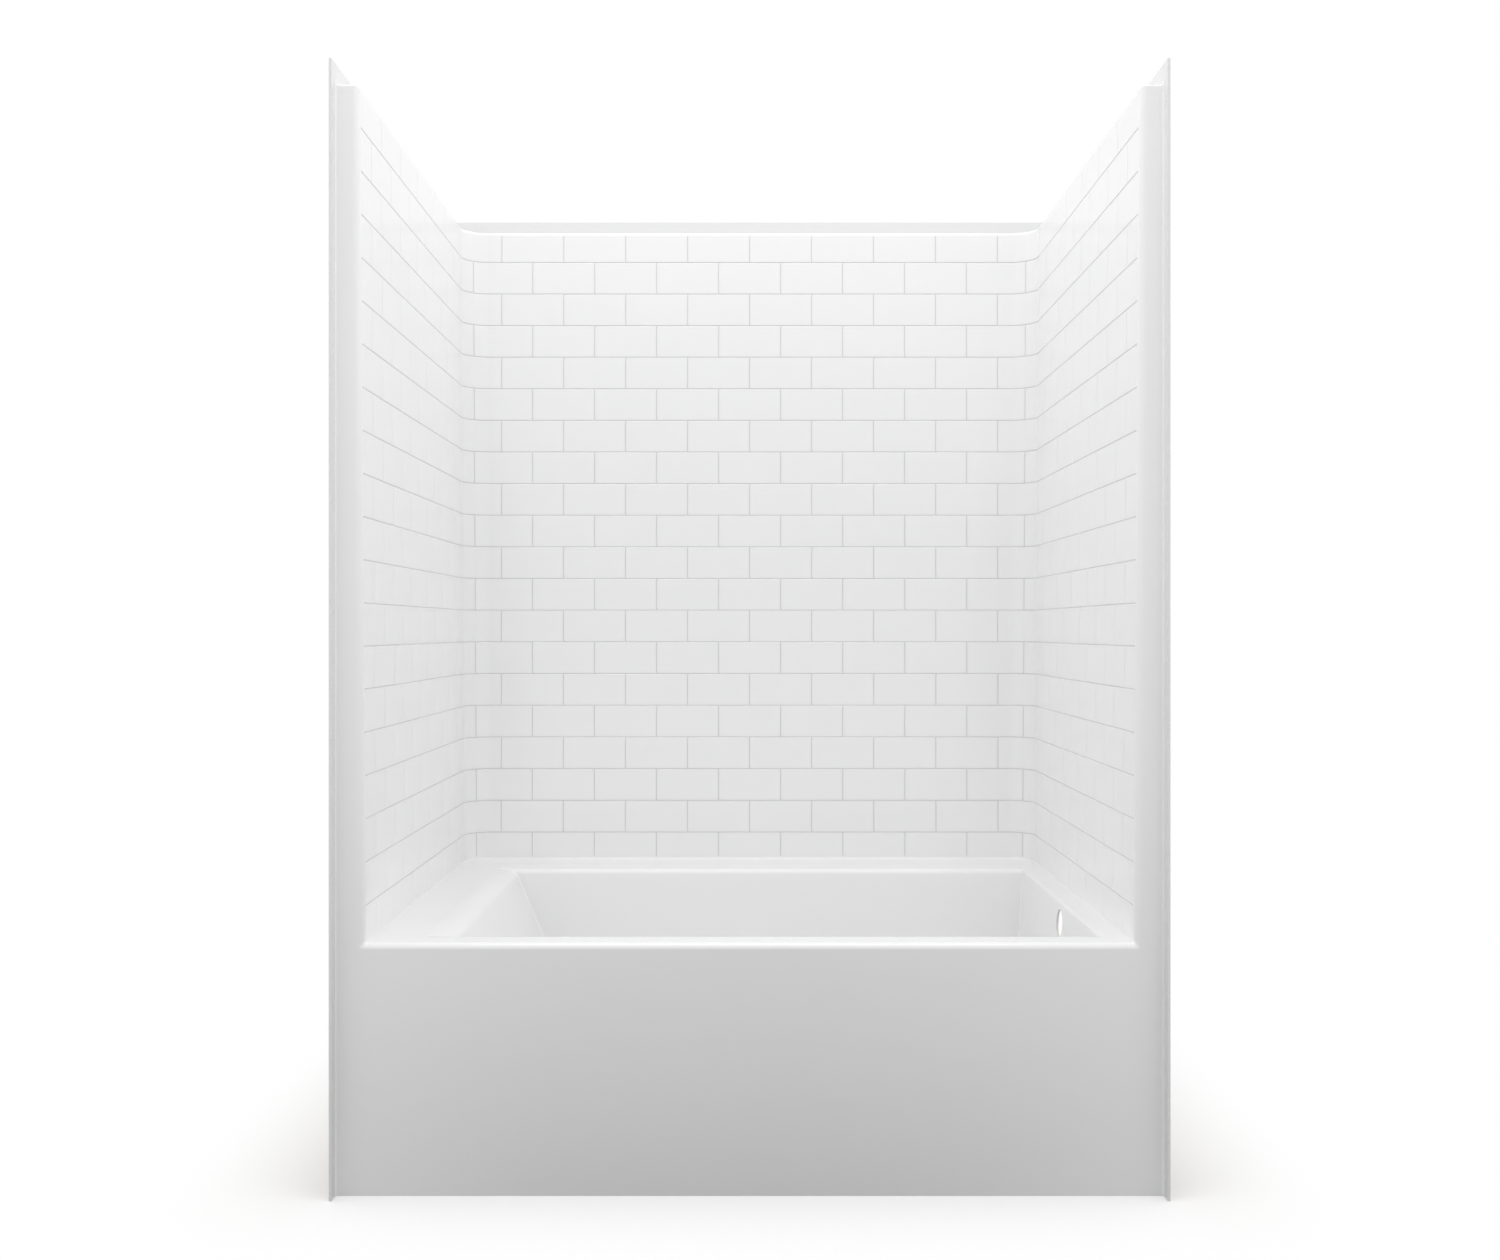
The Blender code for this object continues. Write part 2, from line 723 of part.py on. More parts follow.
BASE_TOP = RUNNER_HEIGHT + GAP + BOARD_THICK
RUNNER_REACH = OUTER_X - RUNNER_INSET
RAIL_TOP = RIM_HEIGHT - SKIN - GAP
RAIL_LOW = RAIL_TOP - RAIL_THICK
SIDE_RAIL_X = (LIP_LEFT - DECK_X) / 2
DRAIN_RAIL_X = LIP_RIGHT + DRAIN_RAIL_WIDTH / 2 + SKIN
BACK_RAIL_Y = (LIP_BACK + DECK_Y) / 2
BACK_RAIL_REACH = DECK_X - RAIL_END_INSET
CLEAT_REACH = COVE_X - SKIN


def add_bed():
    """Runners, base board and foam, which carry the basin's floor."""
    left, right, front, back = foam_reach()
    for name, middle in RUNNERS_Y.items():
        add_box(
            name + "_runner",
            (-RUNNER_REACH, middle - RUNNER_WIDTH / 2, 0),
            (RUNNER_REACH, middle + RUNNER_WIDTH / 2, RUNNER_HEIGHT),
            PINE,
        )
    add_box(
        "base_board",
        (left - BOARD_MARGIN, front - BOARD_MARGIN, RUNNER_HEIGHT + GAP),
        (right + BOARD_MARGIN, back + BOARD_MARGIN, BASE_TOP),
        PLYWOOD,
    )
    top = FLOOR_HEIGHT - SKIN - GAP
    bm = box((left, front, BASE_TOP + GAP), (right, back, top))
    for vertex in bm.verts:
        if vertex.co.z > BASE_TOP + 2 * GAP:
            vertex.co.z += floor_rise(vertex.co.x)
    add_part("foam_bed", bm, FOAM)


def add_deck_rails():
    """Flat rails under the deck, which the legs hold up."""
    low_y, high_y = FRONT_Y + RAIL_END_INSET, DECK_Y - RAIL_END_INSET
    for name, middle, width in (
        ("left_deck_rail", SIDE_RAIL_X, SIDE_RAIL_WIDTH),
        ("right_deck_rail", DRAIN_RAIL_X, DRAIN_RAIL_WIDTH),
    ):
        add_box(
            name,
            (middle - width / 2, low_y, RAIL_LOW),
            (middle + width / 2, high_y, RAIL_TOP),
            PINE,
        )
    add_box(
        "back_deck_rail",
        (-BACK_RAIL_REACH, BACK_RAIL_Y - BACK_RAIL_WIDTH / 2, RAIL_LOW),
        (BACK_RAIL_REACH, BACK_RAIL_Y + BACK_RAIL_WIDTH / 2, RAIL_TOP),
        PINE,
    )


def leg_places():
    """Each leg's name, middle, width, foot height and the rail that it carries."""
    on_runner = RUNNER_HEIGHT + GAP
    places = []
    for name, middle in RUNNERS_Y.items():
        places.append((f"left_{name}_leg", SIDE_RAIL_X, middle, LEG, on_runner, "left_deck_rail"))
        places.append(
            (f"right_{name}_leg", DRAIN_RAIL_X, middle, DRAIN_LEG, on_runner, "right_deck_rail")
        )
    for name, side in (("back_left_leg", -1), ("back_right_leg", 1)):
        x = side * (BACK_RAIL_REACH - BACK_LEG_INSET)
        places.append((name, x, BACK_RAIL_Y, LEG, 0.0, "back_deck_rail"))
    return places


def add_legs():
    for name, x, y, width, foot, _ in leg_places():
        add_box(
            name,
            (x - width / 2, y - width / 2, foot),
            (x + width / 2, y + width / 2, RAIL_LOW - GAP),
            PINE,
        )


def add_apron_frame():
    """Cleat on the floor behind the apron, and uprights from it to the rim."""
    behind = FRONT_Y + SKIN + GAP
    high = (CLEAT_REACH, behind + CLEAT, CLEAT)
    add_box("apron_cleat", (-CLEAT_REACH, behind, 0), high, PINE)
    low = CLEAT + GAP
    # The top front corner is taken off, to clear the rim's rolled edge.
    outline = [
        (behind, low),
        (behind + RAIL_THICK, low),
        (behind + RAIL_THICK, RAIL_TOP),
        (behind + FRONT_ROUND, RAIL_TOP),
        (behind, RAIL_TOP - FRONT_ROUND),
    ]
    for name, middle in upright_places():
        start = middle - UPRIGHT_WIDTH / 2
        bm = extrude_outline(
            outline,
            lambda y, height, start=start: Vector((start, y, height)),
            Vector((UPRIGHT_WIDTH, 0, 0)),
        )
        add_part(name, bm, PINE)


def upright_places():
    spread = CLEAT_REACH - UPRIGHT_INSET
    return [(f"apron_upright_{n + 1}", spread * (n - 1)) for n in range(3)]


def backing_level(share):
    """Underside of a backing board whose middle is this share up the wall."""
    return RIM_HEIGHT + share * (WALL_TOP - RIM_HEIGHT) - BACKING_HEIGHT / 2


def add_backing():
    """Boards bonded to the backs of the walls, leaning as the walls do."""
    near, far = SKIN + GAP, SKIN + GAP + BACKING_THICK
    reach = TURN_X - BACK_BACKING_INSET
    for n, share in enumerate(BACK_BACKING_SHARES):
        level = backing_level(share)
        low = (-reach, FACE_Y + near, level)
        high = (reach, FACE_Y + far, level + BACKING_HEIGHT)
        lean_back(add_box(f"back_board_{n + 1}", low, high, PLYWOOD))
    front, back = TILE_FRONT + SIDE_BACKING_INSET, TURN_Y - SIDE_BACKING_INSET
    for name, side in (("left", -1), ("right", 1)):
        for n, share in enumerate(SIDE_BACKING_SHARES):
            level = backing_level(share)
            ends = sorted((side * (FACE_X + near), side * (FACE_X + far)))
            low = (ends[0], front, level)
            high = (ends[1], back, level + BACKING_HEIGHT)
            lean_side(add_box(f"{name}_board_{n + 1}", low, high, PLYWOOD))


def screw_profile(length, spare):
    """Half section of a countersunk screw, its head's top at zero, driven down."""
    tip = SCREW_SHANK * SCREW_BLUNT_SHARE
    return [
        (0.0, 0.0),
        (SCREW_HEAD + spare, 0.0),
        (SCREW_SHANK + spare, -SCREW_HEAD_DEPTH),
        (SCREW_SHANK + spare, -length + SCREW_POINT),
        (tip + spare, -length - spare),
        (0.0, -length - spare),
    ]


def turned(points, matrix):
    """A solid of revolution about the Z axis, put in place by the matrix."""
    bm = bmesh.new()
    vertices = [bm.verts.new((radius, 0, height)) for radius, height in points]
    edges = [bm.edges.new(pair) for pair in zip(vertices, vertices[1:])]
    bmesh.ops.spin(
        bm,
        geom=vertices + edges,
        cent=(0, 0, 0),
        axis=(0, 0, 1),
        dvec=(0, 0, 0),
        angle=2 * math.pi,
        steps=SCREW_SIDES,
        use_merge=True,
    )
    bmesh.ops.remove_doubles(bm, verts=bm.verts, dist=MERGE_DISTANCE)
    bmesh.ops.transform(bm, verts=bm.verts, matrix=matrix)
    return bm


def add_screw(name, head, through, length=SCREW_LENGTH, upwards=False):
    """A screw with its head at this point, and its hole in each piece that it enters."""
    turn = Matrix.Rotation(math.pi if upwards else 0.0, 4, "X")
    place = Matrix.Translation(head) @ turn
    add_part(name, turned(screw_profile(length, 0.0), place), STEEL, smooth=True)
    hole = screw_profile(length, GAP)
    mouth = hole[1][0] + OVERRUN * hole_slope()
    hole[0:2] = [(0.0, OVERRUN), (mouth, OVERRUN)]
    cutter = add_cutter(name + "_hole", turned(hole, place))
    for piece in through:
        cut(bpy.data.objects[piece], cutter)


def hole_slope():
    """Widening of a countersink for each unit of height."""
    return (SCREW_HEAD - SCREW_SHANK) / SCREW_HEAD_DEPTH


def add_screws():
    left, right, _, _ = foam_reach()
    ends = (left + BASE_SCREW_INSET, right - BASE_SCREW_INSET)
    number = 0
    for runner, y in RUNNERS_Y.items():
        for x in ends:
            number += 1
            head = Vector((x, y, BASE_TOP))
            add_screw(f"base_screw_{number}", head, ("base_board", runner + "_runner"))
    for name, x, y, _, _, rail in leg_places():
        add_screw(name + "_screw", Vector((x, y, RAIL_TOP)), (rail, name))
    y = FRONT_Y + SKIN + GAP + RAIL_THICK / 2
    for name, x in upright_places():
        head = Vector((x, y, SCREW_SINK))
        pieces = ("apron_cleat", name)
        add_screw(name + "_screw", head, pieces, CLEAT_SCREW_LENGTH, upwards=True)


def build():
    add_bathtub()
    add_apron()
    add_back_wall()
    for name, side in (("left", -1), ("right", 1)):
        add_side_wall(name + "_wall", side)
        add_corner(name + "_corner", side)
        add_column(name + "_column", side)
        add_front_flange(name + "_front_flange", side)
    add_ledges()
    add_top_flange()
    add_bed()
    add_deck_rails()
    add_legs()
    add_apron_frame()
    add_backing()
    add_screws()


build()
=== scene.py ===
"""Looks of the one-piece tub and shower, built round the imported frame.

The moulding is one unbroken skin, so it is one piece here: tiled walls, ledge, nailing
flange, columns, apron, deck and basin run into each other through their real radii.
The timber, plywood, foam and screws behind it keep their CAD shapes and are dressed.
"""

import json
import logging
import math
from collections.abc import Callable, Iterable, Sequence
from dataclasses import dataclass, field
from enum import Enum
from functools import partial

import bmesh
import bpy
from mathutils import Matrix, Vector

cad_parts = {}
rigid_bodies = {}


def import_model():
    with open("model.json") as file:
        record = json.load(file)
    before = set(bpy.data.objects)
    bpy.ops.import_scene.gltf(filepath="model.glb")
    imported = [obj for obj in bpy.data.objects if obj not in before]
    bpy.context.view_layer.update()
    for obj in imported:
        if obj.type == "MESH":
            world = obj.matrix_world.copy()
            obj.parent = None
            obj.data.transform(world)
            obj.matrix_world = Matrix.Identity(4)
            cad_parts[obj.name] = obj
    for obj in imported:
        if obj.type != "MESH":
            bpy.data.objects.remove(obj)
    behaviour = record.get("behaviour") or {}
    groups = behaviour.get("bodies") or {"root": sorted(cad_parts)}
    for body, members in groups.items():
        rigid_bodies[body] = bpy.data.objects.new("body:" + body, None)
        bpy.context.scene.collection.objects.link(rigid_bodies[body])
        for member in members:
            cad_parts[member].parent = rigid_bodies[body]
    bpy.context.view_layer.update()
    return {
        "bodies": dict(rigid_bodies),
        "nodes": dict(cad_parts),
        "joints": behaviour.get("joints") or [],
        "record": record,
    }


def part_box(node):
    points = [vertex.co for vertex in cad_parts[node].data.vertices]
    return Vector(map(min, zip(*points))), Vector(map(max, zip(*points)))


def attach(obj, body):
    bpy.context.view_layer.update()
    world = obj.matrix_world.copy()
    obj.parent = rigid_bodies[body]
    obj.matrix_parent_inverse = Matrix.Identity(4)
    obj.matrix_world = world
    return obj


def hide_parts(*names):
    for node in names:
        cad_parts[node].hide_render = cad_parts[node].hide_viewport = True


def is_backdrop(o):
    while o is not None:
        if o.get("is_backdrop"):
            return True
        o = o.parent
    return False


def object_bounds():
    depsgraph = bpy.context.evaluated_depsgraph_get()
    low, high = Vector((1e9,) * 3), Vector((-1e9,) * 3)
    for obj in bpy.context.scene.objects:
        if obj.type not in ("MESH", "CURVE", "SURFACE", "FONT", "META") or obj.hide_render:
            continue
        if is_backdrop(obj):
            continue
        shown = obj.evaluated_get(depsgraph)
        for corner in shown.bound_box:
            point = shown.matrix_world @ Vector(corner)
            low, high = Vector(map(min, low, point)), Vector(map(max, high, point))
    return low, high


LOG = logging.getLogger("tub_and_shower")
BODY = "root"
QUARTER = math.pi / 2
MICROMETRE_PLACES = 6
WHITE = (1.0, 1.0, 1.0, 1.0)
NOISE_MIDDLE = (0.3, 0.7)
NUMBER_SUMS = ("DISTANCE", "DOT_PRODUCT", "LENGTH")

Vert = bmesh.types.BMVert
Edge = bmesh.types.BMEdge
Edges = list[bmesh.types.BMEdge]
Mover = Callable[[bmesh.types.BMVert], Vector]
Socket = bpy.types.NodeSocket
Pair = tuple[float, float]
Place = tuple[float, float, float]
Colour = tuple[float, float, float]


class Axis(Enum):
    """A direction of the object's frame, as its place in a vector."""

    X = 0
    Y = 1
    Z = 2


class Zone(Enum):
    """Where a point of the walls lies in plan."""

    SIDE = "side"
    CORNER = "corner"
    BACK = "back"


def arc_points(centre: Pair, radius: float, start: float, end: float, steps: int) -> list[Vector]:
    """Points of an arc in the plane.

    Args:
        centre: Middle of the arc.
        radius: Its radius.
        start: First angle, in degrees.
        end: Last angle, in degrees.
        steps: Number of segments.

    Returns:
        The points from start to end, as flat vectors.
    """
    turns = [math.radians(start + (end - start) * step / steps) for step in range(steps + 1)]
    return [Vector((centre[0] + radius * math.cos(t), centre[1] + radius * math.sin(t))) for t in turns]


def blend(low: float, high: float, share: float) -> float:
    """The value that lies this share of the way from low to high."""
    return low + (high - low) * share


def smooth_share(value: float) -> float:
    """A share from 0 to 1 with level ends."""
    value = min(1.0, max(0.0, value))
    return value * value * (3 - 2 * value)


def mixed_radius(own: float, other: float, toward: float, away: float) -> float:
    """A radius between two radii, by how far a point is turned towards each of them."""
    total = toward**2 + away**2
    return blend(other, own, toward**2 / total) if total else own


def set_along(vertex: Vert, axis: Axis, place: float) -> Vector:
    """A vertex's place, set to a new value along one axis.

    Args:
        vertex: The vertex, which stays where it is.
        axis: The axis.
        place: The new value.

    Returns:
        The new place.
    """
    moved = vertex.co.copy()
    moved[axis.value] = place
    return moved


def turned_about(vertex: Vert, hub: Vector, turn: Matrix) -> Vector:
    """A vertex's place after a turn round an upright line."""
    return hub + turn @ (vertex.co - hub)


@dataclass
class WallPlan:
    """Sizes of the tiled walls, and the rules that place their pattern and lean.

    The overall sizes come from the frame, and the tile pattern is that of the CAD solids.
    """

    outer_x: float
    outer_y: float
    front_y: float
    rim: float
    top: float
    flange_top: float
    skin: float = 0.005
    side_ledge: float = 0.0475
    back_ledge: float = 0.0508
    corner_radius: float = 0.060
    foot_cove: float = 0.005
    top_round: float = 0.007
    ledge_cove: float = 0.010
    flange_turn: float = 0.012
    front_round: float = 0.012
    draft_share: float = 0.0065
    tile_length: float = 0.155575
    tile_height: float = 0.079375
    top_tile: float = 0.075
    groove_half: float = 0.0021
    groove_depth: float = 0.0012
    corner_joint_share: float = 0.42
    fade: float = 0.004

    @classmethod
    def from_frame(cls) -> "WallPlan":
        """Reads the unit's overall sizes from the frame."""
        _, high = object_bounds()
        return cls(
            outer_x=high[0],
            outer_y=high[1],
            front_y=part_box("front_apron")[0].y,
            rim=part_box("bathtub")[1].z,
            top=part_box("back_ledge")[1].z,
            flange_top=high[2],
        )

    @property
    def face_x(self) -> float:
        """Side wall's face at the top."""
        return self.outer_x - self.side_ledge

    @property
    def face_y(self) -> float:
        """Back wall's face at the top."""
        return self.outer_y - self.back_ledge

    @property
    def turn_x(self) -> float:
        """Where the back wall's flat ends and the corner starts."""
        return self.face_x - self.corner_radius

    @property
    def turn_y(self) -> float:
        """Where the side wall's flat ends and the corner starts."""
        return self.face_y - self.corner_radius

    @property
    def tile_front(self) -> float:
        """Front end of the tiled side walls."""
        return self.front_y + self.front_round

    def lean(self, height: float) -> float:
        """How far the walls stand in from their top, at this height."""
        return self.draft_share * (self.top - height)

    def follow_share(self, y: float) -> float:
        """How far a point goes along with the back wall's lean, at this place in depth."""
        stretch = self.tile_length / 2
        return min(1.0, max(0.0, 1 - (self.turn_y - y) / stretch))

    def grooves(self) -> list[float]:
        """Places the level grooves.

        Returns:
            Their heights, from the top down.
        """
        heights = []
        height = self.top - self.top_tile
        while height > self.rim + self.foot_cove + 2 * self.groove_half:
            heights.append(height)
            height -= self.tile_height
        return heights

    def back_joints(self, odd: bool) -> list[float]:
        """Places the upright joints of the back wall.

        Args:
            odd: Whether the row is odd, counted from the top.

        Returns:
            Their places, from left to right.
        """
        first = self.tile_length / 2 if odd else 0.0
        count = int((self.turn_x - 2 * self.groove_half - first) / self.tile_length) + 1
        right = [first + self.tile_length * step for step in range(count)]
        return sorted({-x for x in right} | set(right))

    def side_joints(self, odd: bool) -> list[float]:
        """Places the upright joints of a side wall.

        Args:
            odd: Whether the row is odd, counted from the top.

        Returns:
            Their places, from front to back.
        """
        first = self.tile_front + self.tile_length / (2 if odd else 1)
        count = int((self.turn_y - 2 * self.groove_half - first) / self.tile_length) + 1
        return [first + self.tile_length * step for step in range(count)]

    def zone(self, x: float, y: float) -> Zone:
        """Names the stretch of wall that a point belongs to.

        Args:
            x: Place in plan, before the walls are leaned.
            y: Place in plan.

        Returns:
            The stretch.
        """
        if y <= self.turn_y:
            return Zone.SIDE
        return Zone.BACK if abs(x) <= self.turn_x else Zone.CORNER

    def behind(self, x: float, y: float) -> Vector:
        """Direction from the wall's face into the wall.

        Args:
            x: Place in plan, before the walls are leaned.
            y: Place in plan.

        Returns:
            The direction, level and of length 1.
        """
        match self.zone(x, y):
            case Zone.SIDE:
                return Vector((math.copysign(1, x), 0, 0))
            case Zone.BACK:
                return Vector((0, 1, 0))
            case Zone.CORNER:
                hub = Vector((math.copysign(self.turn_x, x), self.turn_y, 0))
                return (Vector((x, y, 0)) - hub).normalized()

    def joint_distance(self, x: float, y: float, odd: bool) -> float:
        """Distance along the wall from a point to the nearest upright joint.

        Args:
            x: Place in plan, before the walls are leaned.
            y: Place in plan.
            odd: Whether the point is in an odd row, counted from the top.

        Returns:
            The distance, in metres.
        """
        gaps = []
        if self.zone(x, y) is Zone.SIDE:
            gaps = [abs(y - joint) for joint in self.side_joints(odd)]
        elif self.zone(x, y) is Zone.BACK:
            gaps = [abs(x - joint) for joint in self.back_joints(odd)]
        elif odd:
            turn = math.atan2(abs(x) - self.turn_x, y - self.turn_y)
            gaps = [abs(turn - self.corner_joint_share * QUARTER) * self.corner_radius]
        return min(gaps, default=math.inf)

    def groove(self, distance: float) -> float:
        """Depth of a groove at this distance from its middle line."""
        return self.groove_depth * smooth_share(1 - distance / self.groove_half)

    def depth(self, place: Vector) -> float:
        """Depth of the tile pattern.

        Args:
            place: Point of the wall's face, before the walls are leaned.

        Returns:
            The depth, which fades out towards the cove, the round and the front.
        """
        lines = self.grooves()
        level = min(abs(place.z - line) for line in lines)
        row = sum(place.z < line for line in lines)
        joint = self.joint_distance(place.x, place.y, row % 2 == 1)
        sunk = max(self.groove(level), self.groove(joint))
        above_cove = (place.z - self.rim - self.foot_cove) / self.fade
        below_round = (self.top - self.top_round - place.z) / self.fade
        from_front = (place.y - self.tile_front) / self.fade
        return sunk * smooth_share(min(above_cove, below_round, from_front))


@dataclass
class SideSection:
    """One side of the basin in section: oval lip, straight wall and foot."""

    lip_width: float
    lip_fall: float
    lean: float
    depth: float
    foot: float

    @property
    def lip_turn(self) -> float:
        """Angle round the lip's oval at which it runs into the straight wall."""
        return math.atan2(self.lip_width * math.cos(self.lean), self.lip_fall * math.sin(self.lean))

    @property
    def lip_end(self) -> float:
        """Depth at which the lip's round meets the straight wall."""
        return self.lip_fall * (1 - math.cos(self.lip_turn))

    @property
    def foot_start(self) -> float:
        """Depth at which the straight wall meets the foot's round."""
        return self.depth - self.foot * (1 - math.sin(self.lean))

    @property
    def floor_inset(self) -> float:
        """Distance in from the lip line at which the floor starts."""
        return self.wall_inset(self.foot_start) + self.foot * math.cos(self.lean)

    def wall_inset(self, drop: float) -> float:
        """Distance in from the lip line, on the straight wall."""
        return self.lip_width * math.sin(self.lip_turn) + (drop - self.lip_end) * math.tan(self.lean)

    def inset(self, drop: float) -> float:
        """Distance in from the lip line.

        Args:
            drop: Depth below the rim.

        Returns:
            The distance, in metres.
        """
        if drop <= self.lip_end:
            return self.lip_width * math.sqrt(1 - (1 - drop / self.lip_fall) ** 2)
        if drop <= self.foot_start:
            return self.wall_inset(drop)
        rise = max(0.0, self.foot - (self.depth - drop))
        return self.floor_inset - math.sqrt(max(0.0, self.foot**2 - rise**2))


@dataclass
class BasinPlan:
    """Sizes of the basin, and the outline that it has at each depth."""

    front: float
    rim: float
    left: float = -0.6064
    right: float = 0.6588
    back: float = 0.3351
    floor: float = 0.072
    foot: float = 0.055
    fall_share: float = 0.010
    corner_top: float = 0.004
    corner_floor: float = 0.075
    corner_power: float = 3.0
    corner_steps: int = 10
    flat_margin: float = 0.003
    backrest_lip_width: float = 0.052
    backrest_lip_fall: float = 0.020
    drain_end_lip: float = 0.005
    long_lip: float = 0.014
    backrest_lean: float = math.radians(23.5)
    drain_end_lean: float = math.radians(3.7)
    front_lean: float = math.radians(4.0)
    back_lean: float = math.radians(5.0)
    drain_from_end: float = 0.184
    drain_diameter: float = 0.052
    overflow_diameter: float = 0.059
    overflow_drop: float = 0.045
    plumbing_offset: float = -0.110
    hole_sides: int = 48
    lip_turns: tuple[int, ...] = tuple(range(0, 85, 10))
    wall_shares: tuple[float, ...] = (0.15, 0.3, 0.45, 0.6)
    foot_turns: tuple[int, ...] = (85, 78, 70, 62, 54, 46, 38, 30, 22, 14, 7, 0)
    sections: dict[str, SideSection] = field(init=False)

    def __post_init__(self) -> None:
        """Makes the sections of the four sides."""
        sizes = {
            "left": (self.backrest_lip_width, self.backrest_lip_fall, self.backrest_lean),
            "right": (self.drain_end_lip, self.drain_end_lip, self.drain_end_lean),
            "front": (self.long_lip, self.long_lip, self.front_lean),
            "back": (self.long_lip, self.long_lip, self.back_lean),
        }
        self.sections = {side: SideSection(*size, self.depth, self.foot) for side, size in sizes.items()}

    @property
    def depth(self) -> float:
        """Depth of the floor below the rim."""
        return self.rim - self.floor

    @property
    def drain_x(self) -> float:
        """Drain's centre."""
        return self.right - self.drain_from_end

    def floor_rise(self, x: float) -> float:
        """How much higher the floor is here than at the drain."""
        return self.fall_share * (self.drain_x - x)

    def outline(self, insets: dict[str, float], radius: float, height: float) -> list[Vector]:
        """A rounded rectangle, from its back right corner, as seen from above.

        Args:
            insets: Distance in from the lip line, for each side.
            radius: Radius of the corners.
            height: Height of the outline.

        Returns:
            Its points.
        """
        left, right = self.left + insets["left"], self.right - insets["right"]
        front, back = self.front + insets["front"], self.back - insets["back"]
        hubs = (
            (right - radius, back - radius, 0),
            (left + radius, back - radius, 90),
            (left + radius, front + radius, 180),
            (right - radius, front + radius, 270),
        )
        points = []
        for x, y, start in hubs:
            corner = arc_points((x, y), radius, start, start + 90, self.corner_steps)
            points += [Vector((point.x, point.y, height)) for point in corner]
        return points

    def margin_ring(self) -> list[Vector]:
        """The outline on the flat deck, just outside the lip."""
        insets = {side: -self.flat_margin for side in self.sections}
        return self.outline(insets, self.corner_top + self.flat_margin, self.rim)

    def ring(self, drop: float) -> list[Vector]:
        """Draws the basin's outline, with the floor's fall.

        Args:
            drop: Depth below the rim.

        Returns:
            Its points.
        """
        radius = blend(self.corner_top, self.corner_floor, (drop / self.depth) ** self.corner_power)
        insets = {side: section.inset(drop) for side, section in self.sections.items()}
        points = self.outline(insets, radius, self.rim - drop)
        if drop >= self.sections["front"].foot_start:
            for point in points:
                point.z += self.floor_rise(point.x)
        return points

    def drops(self) -> list[float]:
        """Chooses where the basin's outline is drawn.

        Returns:
            Depths below the rim, from the lip to the floor.
        """
        lips = [self.long_lip * (1 - math.cos(math.radians(turn))) for turn in self.lip_turns]
        walls = [self.depth * share for share in self.wall_shares]
        feet = [self.depth - self.foot * (1 - math.cos(math.radians(turn))) for turn in self.foot_turns]
        return [*lips, self.long_lip, self.sections["left"].lip_end, *walls, *feet]


